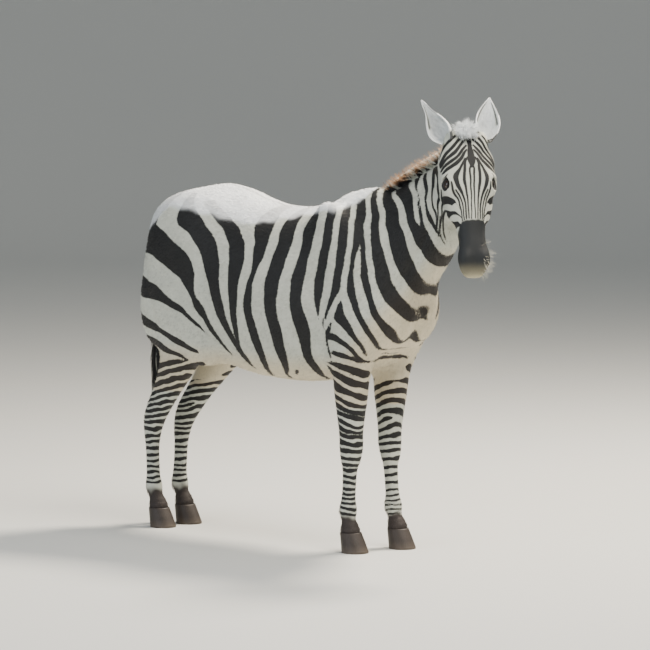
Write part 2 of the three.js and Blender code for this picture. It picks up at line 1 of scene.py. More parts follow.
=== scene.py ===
# A life-size plains zebra, still, as a museum shows one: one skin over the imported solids, with its
# coat, mane, tail, eyes and hooves. Sizes are in millimetres in the body's own frame (x 0 at the
# middle of the trunk, floor at z 0) and turn to metres in the row's frame when a mesh is made.
import json
import math

import bmesh
import bpy
import numpy as np
import openvdb
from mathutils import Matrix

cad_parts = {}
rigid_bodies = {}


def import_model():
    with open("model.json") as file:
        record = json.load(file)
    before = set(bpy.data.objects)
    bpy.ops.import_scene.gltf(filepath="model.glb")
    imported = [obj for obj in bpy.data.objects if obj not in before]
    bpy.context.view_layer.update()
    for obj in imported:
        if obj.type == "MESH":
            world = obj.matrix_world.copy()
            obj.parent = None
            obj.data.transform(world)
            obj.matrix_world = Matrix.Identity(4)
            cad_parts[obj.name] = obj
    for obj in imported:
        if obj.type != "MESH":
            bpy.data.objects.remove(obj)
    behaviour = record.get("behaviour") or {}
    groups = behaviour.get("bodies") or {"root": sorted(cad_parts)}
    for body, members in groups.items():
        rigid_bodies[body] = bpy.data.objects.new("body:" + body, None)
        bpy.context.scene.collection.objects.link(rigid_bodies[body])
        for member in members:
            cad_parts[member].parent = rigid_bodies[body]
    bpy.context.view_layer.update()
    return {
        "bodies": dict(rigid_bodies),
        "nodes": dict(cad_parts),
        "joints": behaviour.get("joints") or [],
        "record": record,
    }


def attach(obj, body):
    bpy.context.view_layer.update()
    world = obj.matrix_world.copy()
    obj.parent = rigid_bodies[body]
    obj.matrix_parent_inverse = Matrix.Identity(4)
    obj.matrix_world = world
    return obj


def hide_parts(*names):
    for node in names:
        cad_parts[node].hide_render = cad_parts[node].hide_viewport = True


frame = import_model()
scene = bpy.context.scene
rng = np.random.default_rng(7)
centring = np.array([-136.0, 0.0, 0.0])  # body frame to row frame


def hexColour(code):  # "d8d2c4" in sRGB to linear RGBA
    parts = [int(code[i:i + 2], 16) / 255 for i in (0, 2, 4)]
    return tuple(c / 12.92 if c <= 0.04045 else ((c + 0.055) / 1.055) ** 2.4 for c in parts) + (1.0,)


def addNode(tree, kind, values={}, links={}, **settings):  # one node with its settings, values and links
    node = tree.nodes.new(kind)
    for name, value in settings.items():
        setattr(node, name, value)
    for name, value in values.items():
        node.inputs[name].default_value = value
    for name, source in links.items():
        tree.links.new(source, node.inputs[name])
    return node


def newMaterial(name, looks):  # a principled material, its tree and its shader
    made = bpy.data.materials.new(name)
    made.use_nodes = True
    shader = made.node_tree.nodes["Principled BSDF"]
    for key, value in looks.items():
        shader.inputs[key].default_value = value
    return made, made.node_tree, shader


def meshObject(name, points, faces, material=None, smooth=True):  # points in body millimetres
    mesh = bpy.data.meshes.new(name)
    mesh.from_pydata(((np.asarray(points) + centring) / 1000).tolist(), [], [list(f) for f in faces])
    mesh.validate()
    mesh.update()
    if smooth:
        mesh.shade_smooth()
    if material:
        mesh.materials.append(material)
    made = bpy.data.objects.new(name, mesh)
    scene.collection.objects.link(made)
    return made


# camera, floor and light
view = {"turn": 41.61, "rise": 4.87, "distance": 13.754, "aim": (-0.0509, 0.0756, 0.7873), "focus": 3782,
        "picture": 650}
turn, rise = math.radians(view["turn"]), math.radians(view["rise"])
backwards = np.array([math.sin(turn) * math.cos(rise), -math.cos(turn) * math.cos(rise), math.sin(rise)])
cameraData = bpy.data.cameras.new("camera")
cameraData.sensor_width = 36
cameraData.lens = 36 * view["focus"] / view["picture"]
cameraData.clip_end = 100
camera = bpy.data.objects.new("camera", cameraData)
camera.location = np.array(view["aim"]) + backwards * view["distance"]
camera.rotation_euler = (math.pi / 2 - rise, 0, turn)
scene.collection.objects.link(camera)
scene.camera = camera

floorMaterial = newMaterial("paperFloor", {"Base Color": hexColour("d6d8d5"), "Roughness": 0.9})[0]  # matt paper


def makeFloor(size=(60, 15, 5, 24)):
    width, front, bend, height = size
    profile = [(-front * 3, 0), (front, 0)]
    profile += [(front + bend * math.sin(a), bend * (1 - math.cos(a))) for a in np.linspace(0.05, math.pi / 2, 16)]
    profile += [(front + bend, height)]
    towards = np.array([-backwards[0], -backwards[1]]) / math.hypot(backwards[0], backwards[1])
    across = np.array([towards[1], -towards[0]])
    points = []
    for reach, up in profile:
        for side in (-width / 2, width / 2):
            xy = towards * reach + across * side
            points.append((xy[0] * 1000, xy[1] * 1000, up * 1000))
    faces = [(2 * i, 2 * i + 1, 2 * i + 3, 2 * i + 2) for i in range(len(profile) - 1)]
    return meshObject("floor", points, faces, floorMaterial)


floor = makeFloor()
lights = {  # turn from the camera's side, rise, distance in metres, size, watts, colour
    "key": (38, 52, 6.0, 3.4, 380, "fff6ea"),
    "fill": (-48, 22, 7.0, 4.6, 170, "e9f1ff"),
    "sun": (128, 56, 6.0, 1.6, 900, "fff1de"),
}
for name, (side, high, away, size, power, colour) in lights.items():
    a, e = turn + math.radians(side), math.radians(high)
    lampData = bpy.data.lights.new(name, "AREA")
    lampData.shape = "DISK"
    lampData.size = size
    lampData.energy = power
    lampData.color = hexColour(colour)[:3]
    lamp = bpy.data.objects.new(name, lampData)
    out = np.array([math.sin(a) * math.cos(e), -math.cos(a) * math.cos(e), math.sin(e)])
    lamp.location = np.array([0, 0, 0.9]) + out * away
    lamp.rotation_euler = (math.pi / 2 - e, 0, a)
    scene.collection.objects.link(lamp)
world = bpy.data.worlds.new("studio")
world.use_nodes = True
world.node_tree.nodes["Background"].inputs["Color"].default_value = hexColour("e4e8ea")
world.node_tree.nodes["Background"].inputs["Strength"].default_value = 0.42
scene.world = world
print("stage ready")

# the body's own shape: the same stations, masses and blends as its solids
trunkRows = [  # x, back, belly, half width, height of the widest point, roundness above
    [-632, 1080, 860, 84, 985, 2.0],
    [-590, 1140, 800, 140, 990, 2.0],
    [-520, 1212, 750, 180, 1000, 2.0],
    [-430, 1268, 700, 212, 990, 2.0],
    [-340, 1292, 655, 228, 965, 2.0],
    [-240, 1280, 622, 236, 935, 2.0],
    [-140, 1248, 604, 242, 910, 2.0],
    [-40, 1226, 596, 246, 895, 2.0],
    [80, 1222, 594, 243, 885, 2.0],
    [190, 1238, 602, 230, 890, 1.9],
    [290, 1270, 622, 206, 900, 1.75],
    [380, 1286, 658, 184, 905, 1.7],
    [460, 1262, 700, 164, 905, 1.75],
    [520, 1180, 745, 144, 905, 2.0],
    [562, 1070, 790, 116, 905, 2.0],
    [596, 985, 850, 66, 910, 2.0],
]
neckRows = [  # x, side, crest, throat, half width, height of the widest point, roundness above
    [300, 0, 1262, 800, 118, 1000, 1.8],
    [400, 0, 1284, 790, 134, 1010, 1.8],
    [480, 0, 1292, 800, 134, 1020, 1.75],
    [540, 0, 1316, 838, 124, 1035, 1.7],
    [590, 0, 1343, 898, 112, 1075, 1.7],
    [640, 2, 1370, 960, 102, 1125, 1.75],
    [690, 6, 1397, 1022, 92, 1180, 1.8],
    [735, 12, 1424, 1100, 82, 1245, 1.9],
    [775, 16, 1450, 1205, 73, 1320, 2.0],
    [810, 16, 1470, 1280, 64, 1385, 2.0],
]
headPlace = dict(x=794, y=4, z=1481, yaw=-37.6, pitch=67.5, size=0.95)
headRows = [  # along the face from the poll, face line, jaw line, half width above, below
    [-38, 8, -60, 34, 34],
    [-15, 34, -92, 62, 55],
    [30, 50, -122, 88, 66],
    [90, 62, -152, 113, 74],
    [150, 65, -166, 107, 75],
    [205, 61, -152, 90, 70],
    [260, 54, -128, 84, 62],
    [315, 46, -106, 62, 50],
    [370, 40, -90, 51, 45],
    [420, 37, -80, 53, 45],
    [460, 32, -76, 54, 46],
    [488, 20, -73, 49, 44],
    [508, 0, -61, 35, 33],
]
foreRows = [
    [400, 112, 830, 112, 74],
    [388, 112, 750, 98, 66],
    [382, 108, 680, 85, 58],
    [380, 105, 620, 74, 53],
    [380, 102, 550, 65, 50],
    [381, 100, 480, 52, 46],
    [382, 98, 425, 45, 42],
    [384, 97, 380, 44, 42],
    [383, 96, 340, 39, 36],
    [380, 95, 300, 29, 27],
    [378, 94, 240, 26, 24],
    [377, 94, 190, 27, 25],
    [377, 94, 150, 34, 30],
    [380, 94, 116, 27, 25],
    [387, 94, 78, 36, 37],
]
hindRows = [
    [-440, 128, 900, 150, 84],
    [-420, 134, 810, 138, 80],
    [-424, 130, 730, 118, 70],
    [-452, 120, 655, 94, 58],
    [-496, 110, 585, 74, 49],
    [-542, 102, 520, 60, 42],
    [-584, 97, 462, 54, 39],
    [-614, 93, 412, 46, 37],
    [-628, 90, 362, 36, 32],
    [-632, 88, 300, 28, 25],
    [-632, 86, 240, 27, 24],
    [-632, 84, 190, 28, 25],
    [-629, 83, 150, 33, 31],
    [-619, 83, 116, 27, 26],
    [-606, 83, 78, 36, 37],
]
stance = {  # side, forwards, outwards, reach forwards below the knee
    "fore_right": (-1, -27, 4, 0),
    "fore_left": (1, -12, 4, 40),
    "hind_right": (-1, -15, -15, 0),
    "hind_left": (1, -11, -15, 0),
}
kneeHeight, hoofHeight = 380, 72
bodyMasses = [  # middle, half sizes, turn in degrees with the front end down
    [(-390, 105, 1095), (210, 112, 165), 12],
    [(-520, 112, 900), (112, 88, 225), 14],
    [(-345, 128, 815), (118, 82, 190), -12],
    [(350, 120, 1030), (105, 66, 235), -24],
    [(490, 96, 880), (84, 66, 105), 0],
    [(375, 124, 790), (112, 62, 128), 10],
    [(528, 56, 865), (72, 66, 105), 0],
]
headMasses = [
    [(184, 75, 26), (48, 29, 32)],
    [(180, 52, -54), (112, 38, 74)],
    [(246, 58, -14), (74, 24, 30)],
    [(463, 34, 2), (36, 22, 30)],
    [(18, 54, 32), (40, 28, 28)],
]
headMiddleMasses = [
    [(496, 0, -28), (24, 42, 26)],
    [(468, 0, -75), (30, 34, 20)],
]
dockRows = [  # x, side, z, half depth, half width
    [-580, 0, 1138, 40, 44],
    [-634, 0, 1120, 33, 36],
    [-662, 0, 1064, 25, 27],
    [-670, 0, 980, 20, 21],
    [-670, 0, 880, 17, 18],
    [-670, 0, 792, 16, 17],
]
bodyBlend, legBlend, dockBlend, pollBlend, cheekBlend, lipBlend = 70, 46, 16, 50, 26, 22
bellyRoundness, throatRoundness, headRoundness = 2.15, 2.2, 2.3
capEdge, muzzleEdge = 14, 12


def smoothStep(x, low, high):
    t = np.clip((x - low) / (high - low), 0, 1)
    return t * t * (3 - 2 * t)


def smoothMin(a, b, k):
    h = np.maximum(k - np.abs(a - b), 0) / k
    return np.minimum(a, b) - h * h * k / 4


def blendRows(rows, at):
    rows = np.asarray(rows, float)
    at = np.atleast_1d(at)
    i = np.clip(np.floor(at).astype(int), 0, len(rows) - 2)
    t = (at - i)[:, None]
    a, b, d, e = (rows[np.clip(i + n, 0, len(rows) - 1)] for n in (-1, 0, 1, 2))
    return b + 0.5 * t * (d - a + t * (2 * a - 5 * b + 4 * d - e + t * (3 * (b - d) + e - a)))


def profile(rows):  # a fine table of a loft, read by its first column
    rows = np.asarray(rows, float)
    xs = np.arange(rows[0, 0], rows[-1, 0] + 1, 2.0)
    i = np.clip(np.searchsorted(rows[:, 0], xs, side="left") - 1, 0, len(rows) - 2)
    t = (xs - rows[i, 0]) / (rows[i + 1, 0] - rows[i, 0])
    return xs, blendRows(rows, i + np.clip(t, 0, 1))[:, 1:]


def readProfile(table, x):
    xs, columns = table
    return [np.interp(x, xs, columns[:, c]) for c in range(columns.shape[1])]


trunkTable = profile([[x, 0, *rest] for x, *rest in trunkRows])
neckTable = profile(neckRows)
headTable = profile(headRows)


def sectionDistance(side, up, w, h, power):
    reach = np.hypot(side, up)
    q = (np.abs(side / w) ** power + np.abs(up / h) ** power) ** (1 / power)
    return np.where(reach < 1e-6, -np.minimum(w, h), reach * (1 - 1 / np.maximum(q, 1e-9)))


def ellipsoid(x, y, z, size):
    rx, ry, rz = size
    near = np.sqrt((x / rx) ** 2 + (y / ry) ** 2 + (z / rz) ** 2)
    steep = np.sqrt((x / rx**2) ** 2 + (y / ry**2) ** 2 + (z / rz**2) ** 2)
    return near * (near - 1) / np.maximum(steep, 1e-9)


def loftDistance(p, table, lowRoundness):
    x = np.clip(p[:, 0], table[0][0], table[0][-1])
    side, top, low, w, wide, roundness = readProfile(table, x)
    up = p[:, 2] - wide
    h = np.where(up > 0, top - wide, wide - low)
    d = sectionDistance(p[:, 1] - side, up, w, h, np.where(up > 0, roundness, lowRoundness))
    past = p[:, 0] - x
    return np.where(past == 0, d, np.hypot(np.maximum(d + capEdge, 0), past) - capEdge)


def legPath(name):
    rows = np.asarray(foreRows if name.startswith("fore") else hindRows, float)
    side, forward, outward, step = stance[name]
    low = np.clip((rows[0, 2] - rows[:, 2]) / (rows[0, 2] - 150), 0, 1)
    below = np.clip((kneeHeight - rows[:, 2]) / (kneeHeight - hoofHeight), 0, 1)
    out = rows.copy()
    out[:, 0] += forward * low + step * below
    out[:, 1] = side * (rows[:, 1] + outward * low)
    return out


legPaths = {name: legPath(name) for name in stance}
legFine = {name: blendRows(rows, np.arange((len(rows) - 1) * 3 + 1) / 3) for name, rows in legPaths.items()}
dockFine = blendRows(dockRows, np.arange((len(dockRows) - 1) * 3 + 1) / 3)


def chainDistance(p, rows):
    best = np.full(len(p), 1e3)
    for a, b in zip(rows[:-1], rows[1:]):
        near = (p[:, 2] > min(a[2], b[2]) - 190) & (p[:, 2] < max(a[2], b[2]) + 190)
        q = p[near]
        line = b[:3] - a[:3]
        t = np.clip((q - a[:3]) @ line / (line @ line), 0, 1)
        off = q - a[:3] - t[:, None] * line
        deep = a[3] + t * (b[3] - a[3])
        wide = a[4] + t * (b[4] - a[4])
        steep = abs(line[2]) > 0.5 * np.linalg.norm(line)
        d = ellipsoid(off[:, 0], off[:, 1], off[:, 2], (deep, wide, wide if steep else deep))
        d = np.where(np.hypot(off[:, 0], off[:, 1]) < 1e-6, np.abs(off[:, 2]) - deep, d)
        best[near] = np.minimum(best[near], d)
    return best


yaw, pitch = np.radians(headPlace["yaw"]), np.radians(headPlace["pitch"])
headAlong = np.array([np.cos(pitch) * np.cos(yaw), np.cos(pitch) * np.sin(yaw), -np.sin(pitch)])
headLeft = np.array([-np.sin(yaw), np.cos(yaw), 0.0])
headUp = np.cross(headAlong, headLeft)
headOrigin = np.array([headPlace["x"], headPlace["y"], headPlace["z"]], float)
headAxes = np.array([headAlong, headLeft, headUp])

headStart = 640  # nothing of the head lies behind this x


def toHead(p):
    return (p - headOrigin) @ headAxes.T / headPlace["size"]


def fromHead(q):
    return headOrigin + np.asarray(q, float) * headPlace["size"] @ headAxes


def headDistance(p):
    q = toHead(p)
    t = np.clip(q[:, 0], headTable[0][0], headTable[0][-1])
    top, low, wideUp, wideLow = readProfile(headTable, t)
    middle = (top * 2 + low) / 3
    up = q[:, 2] - middle
    share = np.clip((up - low + middle) / (top - low), 0, 1)
    share = share * share * (3 - 2 * share)
    w = wideLow + (wideUp - wideLow) * share
    d = sectionDistance(q[:, 1], up, w, np.where(up > 0, top - middle, middle - low), headRoundness)
    past = q[:, 0] - t
    d = np.where(past == 0, d, np.hypot(np.maximum(d + muzzleEdge, 0), past) - muzzleEdge)
    for (a, o, u), size in headMasses:
        d = smoothMin(d, ellipsoid(q[:, 0] - a, np.abs(q[:, 1]) - o, q[:, 2] - u, size), cheekBlend)
    for (a, o, u), size in headMiddleMasses:
        d = smoothMin(d, ellipsoid(q[:, 0] - a, q[:, 1] - o, q[:, 2] - u, size), lipBlend)
    return d * headPlace["size"]


def massDistance(p, mass):
    (x, y, z), size, turn = mass
    c, s = np.cos(np.radians(turn)), np.sin(np.radians(turn))
    dx, dz = p[:, 0] - x, p[:, 2] - z
    return ellipsoid(c * dx - s * dz, np.abs(p[:, 1]) - y, s * dx + c * dz, size)


def torsoDistance(p):
    d = loftDistance(p, trunkTable, bellyRoundness)
    for mass in bodyMasses:
        d = smoothMin(d, massDistance(p, mass), bodyBlend)
    return d


def skinDistance(p, legs=tuple(stance)):
    neck = smoothMin(loftDistance(p, neckTable, throatRoundness), headDistance(p), pollBlend)
    d = smoothMin(torsoDistance(p), neck, bodyBlend)
    for name in legs:
        d = smoothMin(d, chainDistance(p, legFine[name]), legBlend)
    return smoothMin(d, chainDistance(p, dockFine), dockBlend)


# the skin
skinSettings = {"coatDepth": 3.0, "thinCoat": 1.5, "cell": 11.6, "fineLegs": 640}
bodyLow, bodyHigh = np.array([-700.0, -280.0, 44.0]), np.array([1000.0, 280.0, 1560.0])


eye = {"along": 188, "out": 75, "up": 28, "radius": 20, "lid": 2.0, "slit": (17.5, 10.5, 15), "slant": 14,
       "pupil": (7.5, 3.6)}
eyeHollow = {"place": (188, 97, 42), "size": (25, 24, 19)}
nostril = {"place": (470, 45, 6), "size": (14, 6.5, 10)}
eyeLook = np.array([0.0, 0.844, 0.537])  # along, out, up


def eyeFrame(q):  # along the slit, across it towards the brow, and outwards from the ball's middle
    off = np.stack([q[:, 0] - eye["along"], np.abs(q[:, 1]) - eye["out"], q[:, 2] - eye["up"]], 1)
    brow = np.array([0.0, -eyeLook[2], eyeLook[1]])
    long, across = off[:, 0], off @ brow
    c, s = np.cos(np.radians(eye["slant"])), np.sin(np.radians(eye["slant"]))
    return long * c - across * s, long * s + across * c, off @ eyeLook


def skinField(p):
    q = toHead(p)
    inHead = smoothStep(q[:, 0], -10, 60) * smoothStep(-headDistance(p), -40, -10) * (p[:, 0] > headStart)
    thin = np.maximum(smoothStep(-p[:, 2], -690, -600), inHead)
    d = skinDistance(p) + skinSettings["coatDepth"] - (skinSettings["coatDepth"] - skinSettings["thinCoat"]) * thin
    near = (p[:, 0] > 760) & (p[:, 2] < 1420)
    q = toHead(p[near])
    size = headPlace["size"]
    (a, o, u), hollow = eyeHollow["place"], eyeHollow["size"]
    face = np.maximum(d[near], -ellipsoid(q[:, 0] - a, np.abs(q[:, 1]) - o, q[:, 2] - u, hollow) * size)
    long, across, outwards = eyeFrame(q)
    lids = (np.sqrt(long ** 2 + across ** 2 + outwards ** 2) - eye["radius"] - eye["lid"]) * size
    face = smoothMin(face, lids, 7)
    face = np.maximum(face, -ellipsoid(long, across, outwards - eye["radius"], eye["slit"]) * size)
    (a, o, u), hole = nostril["place"], nostril["size"]
    face = -smoothMin(-face, ellipsoid(q[:, 0] - a, np.abs(q[:, 1]) - o, q[:, 2] - u, hole) * size, 5)
    d[near] = face
    return d


def gradientAt(field, p, step=1.0):
    out = np.empty_like(p)
    for axis in range(3):
        shift = np.zeros(3)
        shift[axis] = step
        out[:, axis] = (field(p + shift) - field(p - shift)) / (2 * step)
    return out


def settle(field, p, rounds=2, limit=4.0):  # move points onto the field's surface
    for _ in range(rounds):
        slope = gradientAt(field, p)
        steep = np.maximum((slope ** 2).sum(1), 0.25)
        p = p - np.clip(field(p) / steep, -limit, limit)[:, None] * slope
    return p


def gridMesh(field, low, high, cell, coarse=4):  # quads of the field's zero surface
    count = np.ceil((high - low) / cell / coarse).astype(int) * coarse
    rough = np.stack(np.meshgrid(*[np.arange(n // coarse) for n in count], indexing="ij"), -1).reshape(-1, 3)
    middle = low + (rough + 0.5) * coarse * cell
    value = field(middle)
    grid = np.repeat(np.repeat(np.repeat(value.reshape(count // coarse), coarse, 0), coarse, 1), coarse, 2)
    near = rough[np.abs(value) < coarse * cell * 1.5]
    local = np.stack(np.meshgrid(*[np.arange(coarse)] * 3, indexing="ij"), -1).reshape(-1, 3)
    cells = (near[:, None, :] * coarse + local[None]).reshape(-1, 3)
    grid[tuple(cells.T)] = field(low + (cells + 0.5) * cell)
    volume = openvdb.FloatGrid(background=float(3 * cell * coarse))
    volume.copyFromArray(grid.astype(np.float32))
    points, quads = volume.convertToQuads(isovalue=0.0)
    return low + (np.asarray(points, float) + 0.5) * cell, np.asarray(quads)


def refine(points, faces, wanted):  # split every face whose middle is wanted
    work = bmesh.new()
    vertices = [work.verts.new(p) for p in points.tolist()]
    for face in faces:
        work.faces.new([vertices[i] for i in face])
    work.verts.ensure_lookup_table()
    middles = np.array([face.calc_center_median() for face in work.faces])
    picked = wanted(middles)
    edges = {edge for face, keep in zip(list(work.faces), picked) if keep for edge in face.edges}
    bmesh.ops.subdivide_edges(work, edges=list(edges), cuts=1, use_grid_fill=True)
    work.verts.index_update()
    out = np.array([v.co for v in work.verts])
    outFaces = [[v.index for v in face.verts] for face in work.faces]
    work.free()
    return out, outFaces


def finePart(p):  # legs and head carry the finest markings
    q = toHead(p)
    return (p[:, 2] < skinSettings["fineLegs"]) | ((q[:, 0] > -30) & (np.abs(q[:, 1]) < 150) & (q[:, 2] > -210)
                                                   & (p[:, 0] > headStart))


def finestPart(p):
    q = toHead(p)
    lined = (q[:, 0] > 10) & (q[:, 0] < 350) & (q[:, 2] > -130)
    lips = (q[:, 0] > 430) & (q[:, 0] < 560) & (q[:, 2] > -70)
    return (lined | lips) & (np.abs(q[:, 1]) < 130) & (p[:, 0] > headStart)


skinPoints, skinFaces = gridMesh(skinField, bodyLow, bodyHigh, skinSettings["cell"])
print("skin grid", len(skinPoints))
skinPoints, skinFaces = refine(settle(skinField, skinPoints), skinFaces, finePart)
skinPoints, skinFaces = refine(settle(skinField, skinPoints), skinFaces, finestPart)
skinPoints = settle(skinField, skinPoints)

foldLines = {  # hollows and folds: side of the body in x and z, half width and depth, both sides alike
    "shoulderRear": [[330, 1120, 20, 2], [318, 1020, 22, 5], [322, 930, 22, 6], [338, 850, 18, 5], [352, 800, 14, 3]],
    "shoulderFront": [[440, 1180, 18, 2], [470, 1080, 18, 5], [494, 980, 18, 5], [508, 900, 16, 4]],
    "elbow": [[300, 700, 12, 2], [318, 730, 12, 6], [345, 742, 12, 4]],
    "jugular": [[560, 930, 14, 3], [620, 1010, 15, 7], [680, 1110, 15, 7], [730, 1230, 12, 4]],
    "neckCrest": [[450, 1190, 30, 2], [560, 1240, 26, 4], [680, 1310, 22, 4], [740, 1370, 18, 2]],
    "flank": [[-230, 880, 26, 3], [-262, 800, 24, 8], [-270, 730, 18, 5]],
    "buttock": [[-560, 1020, 16, 1], [-545, 900, 16, 6], [-520, 800, 16, 6], [-500, 720, 12, 3]],
    "stifle": [[-330, 760, 22, 2], [-372, 700, 22, 6], [-430, 640, 16, 4]],
    "hockHollow": [[-565, 545, 10, 2], [-590, 490, 9, 6], [-612, 440, 8, 5], [-622, 405, 7, 2]],
    "forearm": [[352, 690, 8, 2], [362, 610, 7, 4], [360, 520, 7, 4], [362, 450, 6, 2]],
    "hip": [[-400, 1170, 36, 2], [-440, 1120, 36, 4], [-480, 1060, 30, 2]],
}
tendonGroove = {"top": 300, "bottom": 175, "behind": 3, "width": 5, "depth": 3.2}
mouthLine = {"up": -52, "from": 404, "width": 3.2, "depth": 4.2, "rise": 0.10}
cheekFold = {"line": [[120, -96, 8, 2], [205, -70, 9, 5], [262, -42, 9, 5], [330, -18, 7, 2]]}


def foldDepth(p):  # how far the skin sinks at each point
    depth = np.zeros(len(p))
    for rows in foldLines.values():
        rows = blendRows(rows, np.linspace(0, len(rows) - 1, 4 * (len(rows) - 1) + 1))
        deepest = np.zeros(len(p))
        for (x0, z0, w0, h0), (x1, z1, w1, h1) in zip(rows[:-1], rows[1:]):
            t = np.clip(((p[:, 0] - x0) * (x1 - x0) + (p[:, 2] - z0) * (z1 - z0)) / ((x1 - x0) ** 2 + (z1 - z0) ** 2),
                        0, 1)
            off = np.hypot(p[:, 0] - x0 - t * (x1 - x0), p[:, 2] - z0 - t * (z1 - z0)) / (w0 + t * (w1 - w0))
            deepest = np.maximum(deepest, (h0 + t * (h1 - h0)) * np.exp(-off ** 2))
        depth += deepest
    for name in stance:
        front = legFrame(p, name)[0]
        mine = (np.sign(p[:, 1]) == stance[name][0]) & ((p[:, 0] > 0) == name.startswith("fore"))
        span = smoothStep(p[:, 2], tendonGroove["bottom"] - 20, tendonGroove["bottom"]) \
            * smoothStep(-p[:, 2], -tendonGroove["top"] - 30, -tendonGroove["top"])
        groove = tendonGroove["depth"] * np.exp(-((front + tendonGroove["behind"]) / tendonGroove["width"]) ** 2)
        depth += np.where(mine, groove * span, 0)
    q = toHead(p)
    lips = (headDistance(p) < 20) & (q[:, 0] > mouthLine["from"] - 20)
    height = q[:, 2] - mouthLine["up"] - mouthLine["rise"] * (q[:, 0] - 480)
    mouth = mouthLine["depth"] * np.exp(-(height / mouthLine["width"]) ** 2)
    depth += np.where(lips, mouth * smoothStep(q[:, 0], mouthLine["from"], mouthLine["from"] + 16), 0)
    rows = np.array(cheekFold["line"], float)
    middle, width, deep = (np.interp(q[:, 0], rows[:, 0], rows[:, c]) for c in (1, 2, 3))
    onCheek = (headDistance(p) < 20) & (q[:, 0] > rows[0, 0]) & (q[:, 0] < rows[-1, 0])
    return depth + np.where(onCheek, deep * np.exp(-((q[:, 2] - middle) / width) ** 2), 0)


def legFrame(p, name):  # forwards and outwards from the leg's middle line
    path = legPaths[name][::-1]
    side = stance[name][0]
    front = p[:, 0] - np.interp(p[:, 2], path[:, 2], path[:, 0])
    out = side * (p[:, 1] - np.interp(p[:, 2], path[:, 2], path[:, 1]))
    return front, out


skinNormals = gradientAt(skinField, skinPoints)
skinNormals /= np.maximum(np.linalg.norm(skinNormals, axis=1), 1e-6)[:, None]
skinPoints = skinPoints - skinNormals * foldDepth(skinPoints)[:, None]
print("skin", len(skinPoints), "points", sum(len(f) - 2 for f in skinFaces), "triangles")

